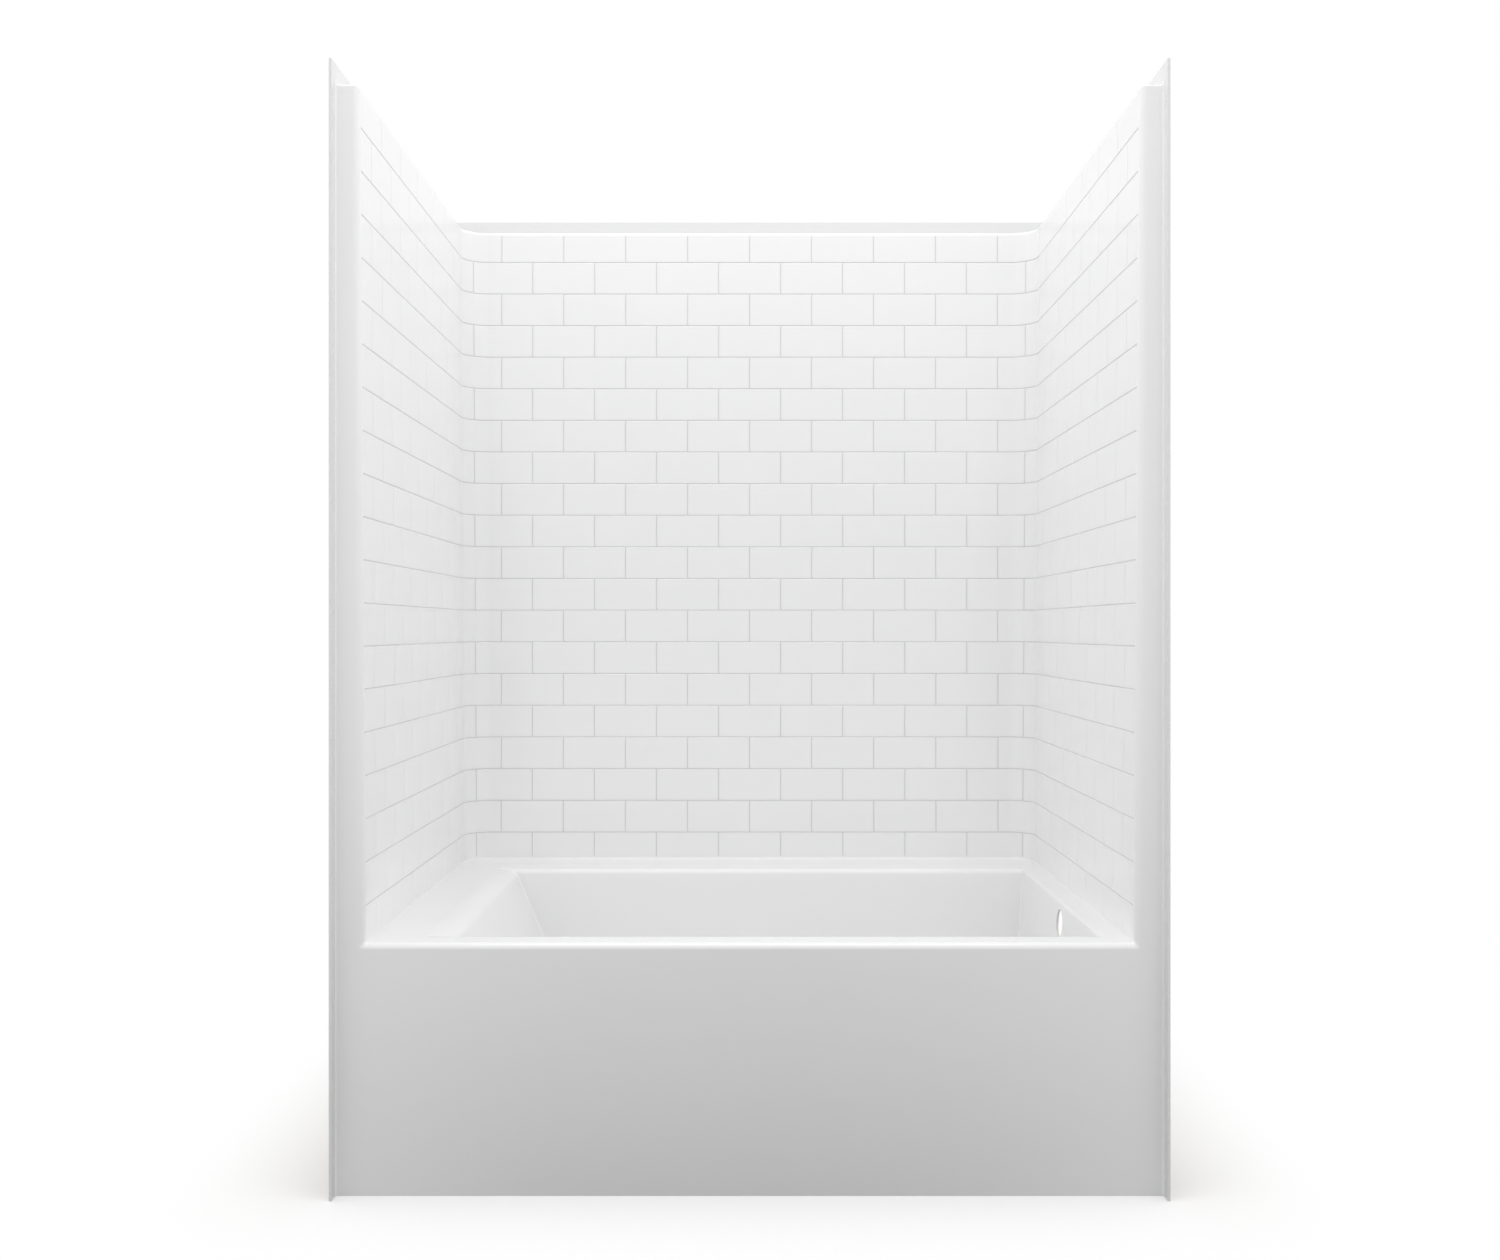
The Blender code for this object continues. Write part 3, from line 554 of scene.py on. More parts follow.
@dataclass
class Skin:
    """The one unbroken skin of the unit, from its nailing flange to the basin's floor.

    Its vertices carry where they lay before the last move (base), their number in the
    basin's outline (order), and whether the walls' lean and pattern leave them (fixed).
    """

    walls: WallPlan
    basin: BasinPlan
    column_crown: float = 0.0035
    front_cove: float = 0.005
    cove_steps: int = 6
    round_steps: int = 6
    front_steps: int = 8
    turn_steps: int = 20
    straight_share: float = 0.35
    joint_room: float = 1.4
    merge: float = 0.000002
    flat_cosine: float = 0.99999
    sharp_angle: float = math.radians(50)
    groove_shares: tuple[float, ...] = (-1.0, -0.65, -0.3, 0.0, 0.3, 0.65, 1.0)
    bm: bmesh.types.BMesh = field(init=False)
    base: bmesh.types.BMLayerItem = field(init=False)
    order: bmesh.types.BMLayerItem = field(init=False)
    fixed: bmesh.types.BMLayerItem = field(init=False)

    def build(self) -> bpy.types.Object:
        """Makes the skin's front, gives it its thickness and then its tile pattern.

        Returns:
            The finished object, not yet dressed.
        """
        self.bm = bmesh.new()
        layers = self.bm.verts.layers
        layers.float_vector.new("base")
        for name in ("order", "fixed"):
            layers.int.new(name)
        for name in ("groove", "flange"):
            layers.float.new(name)
        self.base = layers.float_vector["base"]
        self.order, self.fixed = layers.int["order"], layers.int["fixed"]
        groove, flange = layers.float["groove"], layers.float["flange"]
        front_left, front_right, foot = self.sweep_walls()
        self.square_flange()
        self.set_front_ends()
        deck_edge = self.join(self.lowest(front_left), self.lowest(front_right))
        self.fill_deck([*foot, deck_edge])
        self.turn_front([*front_left, deck_edge, *front_right])
        bmesh.ops.remove_doubles(self.bm, verts=self.bm.verts, dist=self.merge)
        self.lean_walls()
        bmesh.ops.recalc_face_normals(self.bm, faces=self.bm.faces)
        self.face_inwards()
        pattern = [self.sunk(vertex) for vertex in self.bm.verts]
        for vertex, move in zip(self.bm.verts, pattern):
            # groove: share of the groove's full depth, which the gelcoat uses for painted shade.
            vertex[groove] = move.length / self.walls.groove_depth
            # flange: 1 on the top ledge and the nailing flange, which the gelcoat darkens as painted shade.
            vertex[flange] = float(self.on_flange(vertex.co))
        mesh = bpy.data.meshes.new("moulding")
        self.bm.to_mesh(mesh)
        self.bm.free()
        moulding = bpy.data.objects.new("one_piece_moulding", mesh)
        bpy.context.scene.collection.objects.link(moulding)
        self.thicken(moulding)
        self.press_pattern(moulding, pattern)
        return moulding

    def section(self) -> list[Sequence[float]]:
        """Section of a side wall from the deck to the top of its flange.

        Returns:
            Points as the distance behind the wall's face, and the height.
        """
        plan = self.walls
        low, high = plan.rim + plan.foot_cove, plan.top - plan.top_round
        flange = plan.side_ledge - plan.skin
        heights = {low + plan.fade / 2, low + plan.fade, high - plan.fade, high - plan.fade / 2}
        for line in plan.grooves():
            heights |= {line + share * plan.groove_half for share in self.groove_shares}
        ledge = (flange - plan.ledge_cove, plan.top + plan.ledge_cove)
        return [
            (-plan.foot_cove - self.basin.flat_margin, plan.rim),
            *arc_points((-plan.foot_cove, low), plan.foot_cove, -90, 0, self.cove_steps),
            *((0.0, height) for height in sorted(heights)),
            *arc_points((plan.top_round, high), plan.top_round, 180, 90, self.round_steps),
            *arc_points(ledge, plan.ledge_cove, -90, 0, self.cove_steps),
            (flange, plan.flange_top),
        ]

    def pull(self, edges: Edges, move: Mover) -> Edges:
        """Extrudes a chain of edges and places each of its new vertices.

        Args:
            edges: The chain.
            move: Gives a new vertex's place from the vertex itself.

        Returns:
            The new chain's edges.
        """
        pulled = bmesh.ops.extrude_edge_only(self.bm, edges=edges)["geom"]
        fresh = {item for item in pulled if isinstance(item, Vert)}
        for vertex in fresh:
            vertex.co = move(vertex)
        return [item for item in pulled if isinstance(item, Edge) and fresh.issuperset(item.verts)]

    def sweep(self, edges: Edges, moves: Iterable[Mover]) -> tuple[Edges, Edges]:
        """Pulls the wall's section along, by one step for each move.

        Args:
            edges: The section's chain.
            moves: The steps.

        Returns:
            The last chain, and the edges along the wall's foot.
        """
        foot = []
        for move in moves:
            start = self.lowest(edges)
            edges = self.pull(edges, move)
            foot.append(self.edge_between(start, self.lowest(edges)))
        return edges, foot

    def stations(self, low: float, high: float, joints: Callable[[bool], list[float]]) -> list[float]:
        """Chooses where a wall's section is repeated.

        Args:
            low: The wall's first end.
            high: Its other end.
            joints: Gives the upright joints of the odd or the even rows.

        Returns:
            The places along the wall, ends included.
        """
        places = {low, high}
        for joint in joints(True) + joints(False):
            places |= {joint + share * self.walls.groove_half for share in self.groove_shares}
        return sorted(places)

    def straight_moves(self, axis: Axis, places: list[float]) -> list[Mover]:
        """Steps along a straight wall. The first place has its section already."""
        return [partial(set_along, axis=axis, place=place) for place in places[1:]]

    def corner_moves(self, side: int) -> list[Mover]:
        """Steps round a back corner, clockwise as seen from above.

        Args:
            side: -1 for the left corner and 1 for the right one.

        Returns:
            The steps, set closer together at the corner's joint.
        """
        plan = self.walls
        hub = Vector((side * plan.turn_x, plan.turn_y, 0))
        joint = plan.corner_joint_share * QUARTER
        near = self.joint_room * plan.groove_half / plan.corner_radius
        even = [QUARTER * step / self.turn_steps for step in range(self.turn_steps + 1)]
        turns = {angle for angle in even if abs(angle - joint) > near}
        turns |= {joint + share * plan.groove_half / plan.corner_radius for share in self.groove_shares}
        ordered = sorted(turns)
        if side < 0:
            ordered = [QUARTER - angle for angle in reversed(ordered)]
        turned = [Matrix.Rotation(before - after, 3, "Z") for before, after in zip(ordered, ordered[1:])]
        return [partial(turned_about, hub=hub, turn=turn) for turn in turned]

    @staticmethod
    def lowest(edges: Edges) -> Vert:
        """The chain's end on the deck."""
        ends = {vertex for edge in edges for vertex in edge.verts}
        return min(ends, key=lambda end: (round(end.co.z, MICROMETRE_PLACES), abs(end.co.x) + end.co.y))

    @staticmethod
    def edge_between(first: Vert, second: Vert) -> Edge:
        """The edge that joins two vertices."""
        return next(edge for edge in first.link_edges if edge.other_vert(first) == second)

    @staticmethod
    def edges_of(circle: Iterable[Vert]) -> Edges:
        """A circle's edges, each once and in the same order in every run."""
        return list(dict.fromkeys(edge for vertex in circle for edge in vertex.link_edges))

    def join(self, first: Vert, second: Vert) -> Edge:
        """Makes an edge between two vertices."""
        return bmesh.ops.contextual_create(self.bm, geom=[first, second])["edges"][0]

    def sweep_walls(self) -> tuple[Edges, Edges, Edges]:
        """Sweeps the wall's section along the left, back and right walls.

        Returns:
            The chains at the left and the right front end, and the edges on the deck.
        """
        plan = self.walls
        corners = [
            self.bm.verts.new((-plan.face_x - behind, plan.tile_front, height))
            for behind, height in self.section()
        ]
        first = [self.bm.edges.new(pair) for pair in zip(corners, corners[1:])]
        along_side = self.stations(plan.tile_front, plan.turn_y, plan.side_joints)
        along_side[1:1] = [plan.tile_front + plan.fade / 2, plan.tile_front + plan.fade]
        along_back = self.stations(-plan.turn_x, plan.turn_x, plan.back_joints)
        moves = [
            *self.straight_moves(Axis.Y, along_side),
            *self.corner_moves(-1),
            *self.straight_moves(Axis.X, along_back),
            *self.corner_moves(1),
            *self.straight_moves(Axis.Y, along_side[::-1]),
        ]
        last, foot = self.sweep(first, moves)
        return first, last, foot

    def flange_point(self, share: float, inward: float, side: int) -> Vector:
        """A point of the outline that the ledge's cove and the flange follow in a corner.

        Args:
            share: Share of the corner, from the side wall to the back wall.
            inward: Distance in from the flange's inner face.
            side: -1 for the left corner and 1 for the right one.

        Returns:
            The point, in plan.
        """
        plan = self.walls
        x, y = plan.outer_x - plan.skin, plan.outer_y - plan.skin
        hub_x, hub_y = x - plan.flange_turn, y - plan.flange_turn
        start, end = self.straight_share, 1 - self.straight_share
        if share < start:
            point = Vector((x - inward, blend(plan.turn_y, hub_y, share / start), 0))
        elif share > end:
            point = Vector((blend(hub_x, plan.turn_x, (share - end) / start), y - inward, 0))
        else:
            angle = QUARTER * (share - start) / (end - start)
            reach = plan.flange_turn - inward
            point = Vector((hub_x + reach * math.cos(angle), hub_y + reach * math.sin(angle), 0))
        point.x *= side
        return point

    def square_flange(self) -> None:
        """Moves the ledge's outer edge and the flange out to the unit's square plan."""
        plan = self.walls
        past_round = plan.top_round + self.merge
        widening = plan.back_ledge - plan.side_ledge
        flange = plan.side_ledge - plan.skin
        for vertex in self.bm.verts:
            x, y, _ = vertex.co
            zone = plan.zone(abs(x) - self.merge, y - self.merge)
            if zone is Zone.BACK and y > plan.face_y + past_round:
                vertex.co.y += widening
            elif zone is Zone.CORNER:
                side = 1 if x > 0 else -1
                away = Vector((x, y, 0)) - Vector((side * plan.turn_x, plan.turn_y, 0))
                behind = away.length - plan.corner_radius
                if behind > past_round:
                    share = math.atan2(away.y, abs(away.x)) / QUARTER
                    point = self.flange_point(share, flange - behind, side)
                    vertex.co.x, vertex.co.y = point.x, point.y

    def round_turn(self, place: Vector) -> Pair:
        """A point's angle on the round at the wall's top.

        Args:
            place: The point.

        Returns:
            The angle's cosine and sine.
        """
        plan = self.walls
        cosine = 1 - (abs(place.x) - plan.face_x) / plan.top_round
        sine = 1 - (plan.top - place.z) / plan.top_round
        return max(0.0, min(1.0, cosine)), max(0.0, min(1.0, sine))

    def in_round(self, place: Vector) -> bool:
        """Looks whether a point is on the round at the wall's top.

        Args:
            place: Point of the front chain.

        Returns:
            True if it is.
        """
        plan = self.walls
        high = place.z > plan.top - plan.top_round - self.merge
        return high and abs(place.x) < plan.face_x + plan.top_round + self.merge

    def set_front_ends(self) -> None:
        """Brings the walls' tops and the ledges forward to the columns' smaller crown."""
        plan = self.walls
        for vertex in self.bm.verts:
            place = vertex.co
            if place.y > plan.tile_front + self.merge:
                continue
            if self.in_round(place):
                cosine, sine = self.round_turn(place)
                share = cosine**2 / (cosine**2 + sine**2)
                place.y = plan.front_y + blend(self.column_crown, plan.front_round, share)
            elif place.z > plan.top - self.merge:
                place.y = plan.front_y + self.column_crown
            vertex[self.base] = place

    def front_place(self, base: Vector, angle: float) -> Vector:
        """Where a point of the front chain lies after part of the turn to the front.

        Args:
            base: The point before the turn.
            angle: Angle of the turn, from 0 to a quarter.

        Returns:
            The point on the front round, the column's crown, the cove or the flange.
        """
        plan = self.walls
        if self.in_round(base):
            return self.crown_place(base, angle)
        if base.z > plan.top - self.merge:
            return self.flange_place(base, angle)
        side = math.copysign(1, base.x)
        outward = Vector((side, 0, 0))
        if base.z < plan.rim + plan.foot_cove - self.merge:
            on_deck = abs(base.x) < plan.face_x - plan.foot_cove - self.merge
            outward = Vector((0 if on_deck else side, 0, -1))
        place = base + outward * plan.front_round * (1 - math.cos(angle))
        place.y = plan.front_y + plan.front_round * (1 - math.sin(angle))
        return place

    def crown_place(self, base: Vector, angle: float) -> Vector:
        """A point of the blend between a wall's top, the column's edge and its crown.

        Args:
            base: The point before the turn, on the round at the wall's top.
            angle: Angle of the turn.

        Returns:
            The point.
        """
        plan = self.walls
        cosine, sine = self.round_turn(base)
        to_wall, to_front, up = cosine * math.cos(angle), math.sin(angle), sine * math.cos(angle)
        deep_x = mixed_radius(plan.front_round, plan.top_round, to_front, up) * (1 - to_wall)
        deep_y = mixed_radius(plan.front_round, self.column_crown, to_wall, up) * (1 - to_front)
        deep_z = mixed_radius(plan.top_round, self.column_crown, to_wall, to_front) * (1 - up)
        side = math.copysign(1, base.x)
        return Vector((side * (plan.face_x + deep_x), plan.front_y + deep_y, plan.top - deep_z))

    def flange_place(self, base: Vector, angle: float) -> Vector:
        """A point of the ledge's cove or the flange, turned over the column's crown.

        Args:
            base: The point before the turn, on the ledge, its cove or the flange.
            angle: Angle of the turn.

        Returns:
            The point. The flange's outer edge keeps its square corner.
        """
        plan = self.walls
        axis_y, axis_z = plan.front_y + self.column_crown, plan.top - self.column_crown
        growth = blend(1.0, self.front_cove / plan.ledge_cove, angle / QUARTER)
        flange = plan.outer_x - plan.skin
        inward = (flange - abs(base.x)) * growth
        height = base.z - plan.top
        reach = self.column_crown + height * growth
        if height > plan.ledge_cove + self.merge:
            rise, advance = plan.flange_top - axis_z, axis_y + plan.outer_y
            corner = math.atan2(advance, rise)
            if abs(angle - corner) < QUARTER / 2 / self.front_steps:
                angle = corner
            up = rise / max(math.cos(angle), self.merge)
            reach = min(up, advance / max(math.sin(angle), self.merge))
        x = math.copysign(flange - inward, base.x)
        return Vector((x, axis_y - reach * math.sin(angle), axis_z + reach * math.cos(angle)))

    def turn_front(self, chain: Edges) -> None:
        """Turns the front edge of walls, ledge and deck to the front, down to the floor.

        Args:
            chain: Edges from the left flange over the deck to the right flange.
        """
        plan = self.walls
        for step in range(1, self.front_steps + 1):
            angle = QUARTER * step / self.front_steps
            chain = self.pull(chain, lambda vertex, angle=angle: self.front_place(vertex[self.base], angle))
        past_ledge = plan.outer_x - plan.skin - plan.ledge_cove - self.merge
        columns, panel = [], []
        for edge in chain:
            ends = [vertex[self.base] for vertex in edge.verts]
            outer = all(end.z > plan.top - self.merge and abs(end.x) > past_ledge for end in ends)
            (columns if outer else panel).append(edge)
        feet = self.pull(columns, partial(set_along, axis=Axis.Z, place=0.0))
        ends = {vertex for edge in feet for vertex in edge.verts if vertex.co.y > plan.front_y - self.merge}
        left, right = sorted(ends, key=lambda vertex: vertex.co.x)
        panel.append(self.join(left, right))
        for foot in (left, right):
            panel.append(next(edge for edge in foot.link_edges if edge.other_vert(foot).co.z > plan.rim))
        bmesh.ops.edgeloop_fill(self.bm, edges=panel)

    def fill_deck(self, outer: Edges) -> None:
        """Fills the deck up to the basin, and makes the basin with its two holes.

        Args:
            outer: The closed loop of the deck's outer edges.
        """
        basin = self.basin
        margin = basin.margin_ring()
        circle = bmesh.ops.create_circle(self.bm, segments=len(margin), radius=1.0)["verts"]
        for number, (vertex, point) in enumerate(zip(circle, margin)):
            vertex.co = point
            vertex[self.order] = number
            vertex[self.fixed] = 1
        lip = self.edges_of(circle)
        bmesh.ops.triangle_fill(self.bm, use_beauty=True, use_dissolve=False, edges=[*outer, *lip])
        for drop in basin.drops():
            lip = self.pull(lip, lambda vertex, ring=basin.ring(drop): ring[vertex[self.order]])
        drain = Vector((basin.drain_x, basin.plumbing_offset, basin.floor))
        slope = Vector((basin.fall_share, 0, 1)).normalized()
        self.fill_with_hole(lip, drain, slope, basin.drain_diameter)
        self.cut_overflow()

    def fill_with_hole(self, edges: Edges, centre: Vector, normal: Vector, diameter: float) -> None:
        """Fills a flat loop of edges, and leaves a round hole in it.

        Args:
            edges: The loop.
            centre: Middle of the hole.
            normal: Direction that the new faces look in.
            diameter: Diameter of the hole.
        """
        turn = normal.to_track_quat("Z", "Y").to_matrix().to_4x4()
        circle = bmesh.ops.create_circle(
            self.bm,
            segments=self.basin.hole_sides,
            radius=diameter / 2,
            matrix=Matrix.Translation(centre) @ turn,
        )["verts"]
        for vertex in circle:
            vertex[self.fixed] = 1
        loop = [*edges, *self.edges_of(circle)]
        bmesh.ops.triangle_fill(self.bm, use_beauty=True, use_dissolve=False, edges=loop, normal=normal)

    def on_drain_wall(self, face: bmesh.types.BMFace) -> bool:
        """Looks whether a face lies in the flat wall at the drain end.

        Args:
            face: The face.

        Returns:
            True if it does, and also reaches past the overflow on both sides.
        """
        basin = self.basin
        section = basin.sections["right"]
        top, foot = basin.rim - section.lip_end, basin.rim - section.foot_start
        heights = [vertex.co.z for vertex in face.verts]
        sides = [vertex.co.y for vertex in face.verts]
        level = foot - self.merge < min(heights) and max(heights) < top + self.merge
        past_drain = all(vertex.co.x > basin.drain_x + basin.foot for vertex in face.verts)
        return level and past_drain and min(sides) < basin.plumbing_offset < max(sides)

    def cut_overflow(self) -> None:
        """Opens the overflow hole in the flat wall at the drain end."""
        basin = self.basin
        x = basin.right - basin.sections["right"].inset(basin.overflow_drop)
        centre = Vector((x, basin.plumbing_offset, basin.rim - basin.overflow_drop))
        flat = [face for face in self.bm.faces if self.on_drain_wall(face)]
        wall = bmesh.ops.dissolve_faces(self.bm, faces=flat, use_verts=False)["region"][0]
        wall.normal_update()
        normal = wall.normal.copy()
        centre -= normal * (centre - wall.verts[0].co).dot(normal)
        edges = list(wall.edges)
        bmesh.ops.delete(self.bm, geom=[wall], context="FACES_ONLY")
        self.fill_with_hole(edges, centre, normal, basin.overflow_diameter)

    def lean_walls(self) -> None:
        """Keeps each point's place in the pattern, and then leans the walls in."""
        plan = self.walls
        cove_start = plan.outer_x - plan.skin - self.front_cove - self.merge
        for vertex in self.bm.verts:
            vertex[self.base] = vertex.co
            if vertex[self.fixed] or vertex.co.z < plan.rim - plan.front_round - self.merge:
                continue
            step = max(0.0, plan.lean(vertex.co.z))
            if plan.turn_x - self.merge < abs(vertex.co.x) < cove_start:
                vertex.co.x -= math.copysign(step, vertex.co.x)
            vertex.co.y -= step * plan.follow_share(vertex.co.y)

    def face_inwards(self) -> None:
        """Turns the whole skin over if the basin's floor faces down."""
        lowest = min(self.bm.faces, key=lambda face: face.calc_center_median().z)
        if lowest.normal.z < 0:
            bmesh.ops.reverse_faces(self.bm, faces=self.bm.faces)

    def on_flange(self, place: Vector) -> bool:
        """Looks whether a point lies on the top ledge or the nailing flange, where the gelcoat paints shade.

        Args:
            place: Point of the skin's front.

        Returns:
            True if it does.
        """
        plan = self.walls
        past_side = abs(place.x) > plan.outer_x - plan.skin - self.merge
        return past_side or place.z > plan.top - self.merge

    def sunk(self, vertex: Vert) -> Vector:
        """Measures how far the tile pattern moves a vertex.

        Args:
            vertex: Vertex of the skin's front.

        Returns:
            The move, which is zero outside the tiled walls.
        """
        plan = self.walls
        base = vertex[self.base]
        on_face = plan.rim + plan.foot_cove < base.z < plan.top - plan.top_round
        if vertex[self.fixed] or not on_face or base.y < plan.tile_front:
            return Vector()
        return plan.behind(base.x, base.y) * plan.depth(base)

    def thicken(self, moulding: bpy.types.Object) -> None:
        """Gives the skin its thickness, behind its visible side.

        Args:
            moulding: The skin. It gets a material slot for its front, its back and its edges.
        """
        for side in ("front", "behind", "rim"):
            moulding.data.materials.append(bpy.data.materials.new(side))
        wall = moulding.modifiers.new("thickness", "SOLIDIFY")
        wall.thickness = self.walls.skin
        wall.offset = -1
        wall.use_even_offset = True
        wall.material_offset = 1
        wall.material_offset_rim = 2
        bpy.context.view_layer.update()
        graph = bpy.context.evaluated_depsgraph_get()
        thick = bpy.data.meshes.new_from_object(moulding.evaluated_get(graph))
        moulding.modifiers.clear()
        moulding.data = thick

    def press_pattern(self, moulding: bpy.types.Object, pattern: list[Vector]) -> None:
        """Presses the tile pattern into the front, and joins the flat faces behind.

        Args:
            moulding: The skin with its thickness. Its first vertices are those of the front.
            pattern: How far each vertex of the front moves.
        """
        bm = bmesh.new()
        bm.from_mesh(moulding.data)
        bm.verts.ensure_lookup_table()
        for number, move in enumerate(pattern):
            bm.verts[number].co += move
        draft = self.walls.draft_share
        for outward in ((-1, 0, -draft), (1, 0, -draft), (0, 1, -draft)):
            facing = Vector(outward).normalized()
            behind = (face for face in bm.faces if face.material_index == 1)
            flat = [face for face in behind if face.normal.dot(facing) > self.flat_cosine]
            bmesh.ops.dissolve_faces(bm, faces=flat, use_verts=False)
        bm.to_mesh(moulding.data)
        bm.free()
        moulding.data.shade_smooth()
        moulding.data.set_sharp_from_angle(angle=self.sharp_angle)
        weighted = moulding.modifiers.new("weighted_normals", "WEIGHTED_NORMAL")
        weighted.mode = "FACE_AREA"
        weighted.keep_sharp = True


class NodeBoard:
    """A node tree, with short calls for what the finishes and the sky need."""

    def __init__(self, tree: bpy.types.NodeTree) -> None:
        """Takes the node tree to work on."""
        self.tree = tree

    def add(self, kind: str, values: dict | None = None, **settings: object) -> bpy.types.Node:
        """Adds a node.

        Args:
            kind: Type of the node.
            values: Values or outputs for its inputs, by the input's name or number.
            settings: Properties of the node.

        Returns:
            The node.
        """
        node = self.tree.nodes.new(kind)
        for name, value in settings.items():
            setattr(node, name, value)
        for socket, value in (values or {}).items():
            self.feed(node.inputs[socket], value)
        return node

    def feed(self, socket: Socket, value: object) -> None:
        """Links an output to a socket, or sets the socket's value."""
        if isinstance(value, Socket):
            self.tree.links.new(value, socket)
        else:
            socket.default_value = value

    def maths(self, operation: str, *values: object) -> Socket:
        """The result of a sum on values or outputs."""
        return self.add("ShaderNodeMath", dict(enumerate(values)), operation=operation).outputs[0]

    def vector_maths(self, operation: str, *values: object) -> Socket:
        """The result of a sum on vectors, which is a number for a length or a product."""
        node = self.add("ShaderNodeVectorMath", dict(enumerate(values)), operation=operation)
        return node.outputs["Value" if operation in NUMBER_SUMS else "Vector"]

    def ranged(self, value: Socket, source: Pair, target: Pair = (0.0, 1.0), smooth: bool = False) -> Socket:
        """Maps one range of numbers onto another.

        Args:
            value: The number.
            source: Ends of its own range.
            target: Ends of the new range.
            smooth: Whether the new range has level ends.

        Returns:
            The new number.
        """
        ends = {"From Min": source[0], "From Max": source[1], "To Min": target[0], "To Max": target[1]}
        kind = "SMOOTHSTEP" if smooth else "LINEAR"
        node = self.add("ShaderNodeMapRange", {"Value": value, **ends}, interpolation_type=kind)
        return node.outputs["Result"]

    def mix(self, share: Socket, first: Socket, second: Socket) -> Socket:
        """A number between two numbers."""
        return self.add("ShaderNodeMix", {"Factor": share, "A": first, "B": second}).outputs["Result"]

    def tint(self, share: Socket, first: Colour | Socket, second: Colour | Socket) -> Socket:
        """Mixes two colours.

        Args:
            share: How much of the second colour there is.
            first: First colour, as a value or an output.
            second: Second colour.

        Returns:
            The colour between them.
        """
        shades = [(*shade, 1.0) if isinstance(shade, tuple) else shade for shade in (first, second)]
        node = self.add("ShaderNodeMix", {"Factor": share, "A": shades[0], "B": shades[1]}, data_type="RGBA")
        return node.outputs["Result"]

    def either(self, share: Socket, first: bpy.types.Node, second: bpy.types.Node) -> Socket:
        """The first shader where the share is 0, and the second where it is 1."""
        shaders = {0: share, 1: first.outputs[0], 2: second.outputs[0]}
        return self.add("ShaderNodeMixShader", shaders).outputs[0]

    def seen(self) -> Socket:
        """Tells rays that are seen from rays that only light the object.

        Returns:
            1 for what is seen, also in a reflection or through glass, and otherwise 0.
        """
        path = self.add("ShaderNodeLightPath").outputs
        direct = self.maths("MAXIMUM", path["Is Camera Ray"], path["Is Glossy Ray"])
        return self.maths("MAXIMUM", direct, path["Is Transmission Ray"])


class SurfaceBoard(NodeBoard):
    """A new material's node tree, with its shader and the object's coordinates."""

    def __init__(self, name: str) -> None:
        """Starts a material with a Principled shader."""
        self.material = bpy.data.materials.new(name)
        self.material.use_nodes = True
        super().__init__(self.material.node_tree)
        self.shader = self.tree.nodes["Principled BSDF"]
        coordinates = self.add("ShaderNodeTexCoord").outputs
        self.place = coordinates["Object"]
        self.normal = coordinates["Normal"]

    def attribute(self, name: str) -> Socket:
        """A number that the mesh carries."""
        return self.add("ShaderNodeAttribute", attribute_name=name).outputs["Fac"]

    def stretched(self, vector: Socket, axis: Axis, across: float, along: float) -> Socket:
        """Scales coordinates differently along an axis and across it.

        Args:
            vector: The coordinates.
            axis: The axis.
            across: Scale across the axis.
            along: Scale along it.

        Returns:
            The scaled coordinates.
        """
        scale = Vector((across, across, across))
        scale[axis.value] = along
        return self.add("ShaderNodeMapping", {"Vector": vector, "Scale": scale}).outputs["Vector"]

    def noise(self, vector: Socket, scale: float, detail: float = 3.0) -> Socket:
        """A noise value at this scale."""
        node = self.add("ShaderNodeTexNoise", {"Vector": vector, "Scale": scale, "Detail": detail})
        return node.outputs["Fac"]

    def spread(self, value: Socket, target: Pair = (0.0, 1.0)) -> Socket:
        """Maps a noise value's middle range onto a range of numbers."""
        return self.ranged(value, NOISE_MIDDLE, target)

    def finish(
        self, colour: Socket, haze: Socket, rough: Pair, height: Socket, relief: Pair
    ) -> bpy.types.Material:
        """Feeds the shader.

        Args:
            colour: The surface's colour.
            haze: Noise that the roughness follows.
            rough: Least and most roughness.
            height: Height that the bump follows.
            relief: Strength and distance of the bump.

        Returns:
            The finished material.
        """
        strength, distance = relief
        bump = self.add("ShaderNodeBump", {"Height": height, "Strength": strength, "Distance": distance})
        self.feed(self.shader.inputs["Base Color"], colour)
        self.feed(self.shader.inputs["Roughness"], self.spread(haze, rough))
        self.feed(self.shader.inputs["Normal"], bump.outputs["Normal"])
        return self.material


@dataclass(frozen=True)
class Gelcoat:
    """Glossy white moulded surface, with the slight ripple of a mould, and painted shade in its grooves and
    on its ledge and flange.
    """

    colour: Colour = (0.955, 0.955, 0.955)
    shade: Colour = (0.944, 0.945, 0.946)
    # Painted shade: the colour that the grooves take on at their full depth.
    groove: Colour = (0.690, 0.692, 0.695)
    # Painted shade: the greyer white that the top ledge and the nailing flange are darkened to, so they
    # light up no brighter than the walls.
    flange: Colour = (0.800, 0.801, 0.803)
    cloud_scale: float = 3.0
    haze_scale: float = 14.0
    ripple_scale: float = 9.0
    grain_scale: float = 900.0
    grain_share: float = 0.01
    rough: Pair = (0.09, 0.14)
    relief: Pair = (0.25, 0.0012)

    def make(self) -> bpy.types.Material:
        """Makes the material.

        Returns:
            The finished material.
        """
        board = SurfaceBoard("gelcoat")
        cloud = board.spread(board.noise(board.place, self.cloud_scale))
        plain = board.tint(cloud, self.colour, self.shade)
        # Painted shade in the grooves: the gelcoat is darker the deeper the groove is.
        tiled = board.tint(board.attribute("groove"), plain, self.groove)
        # Painted shade on the top ledge and the nailing flange.
        colour = board.tint(board.attribute("flange"), tiled, self.flange)
        haze = board.noise(board.place, self.haze_scale, detail=4.0)
        ripple = board.noise(board.place, self.ripple_scale, detail=1.0)
        grain = board.noise(board.place, self.grain_scale, detail=1.0)
        height = board.maths("ADD", ripple, board.maths("MULTIPLY", grain, self.grain_share))
        return board.finish(colour, haze, self.rough, height, self.relief)


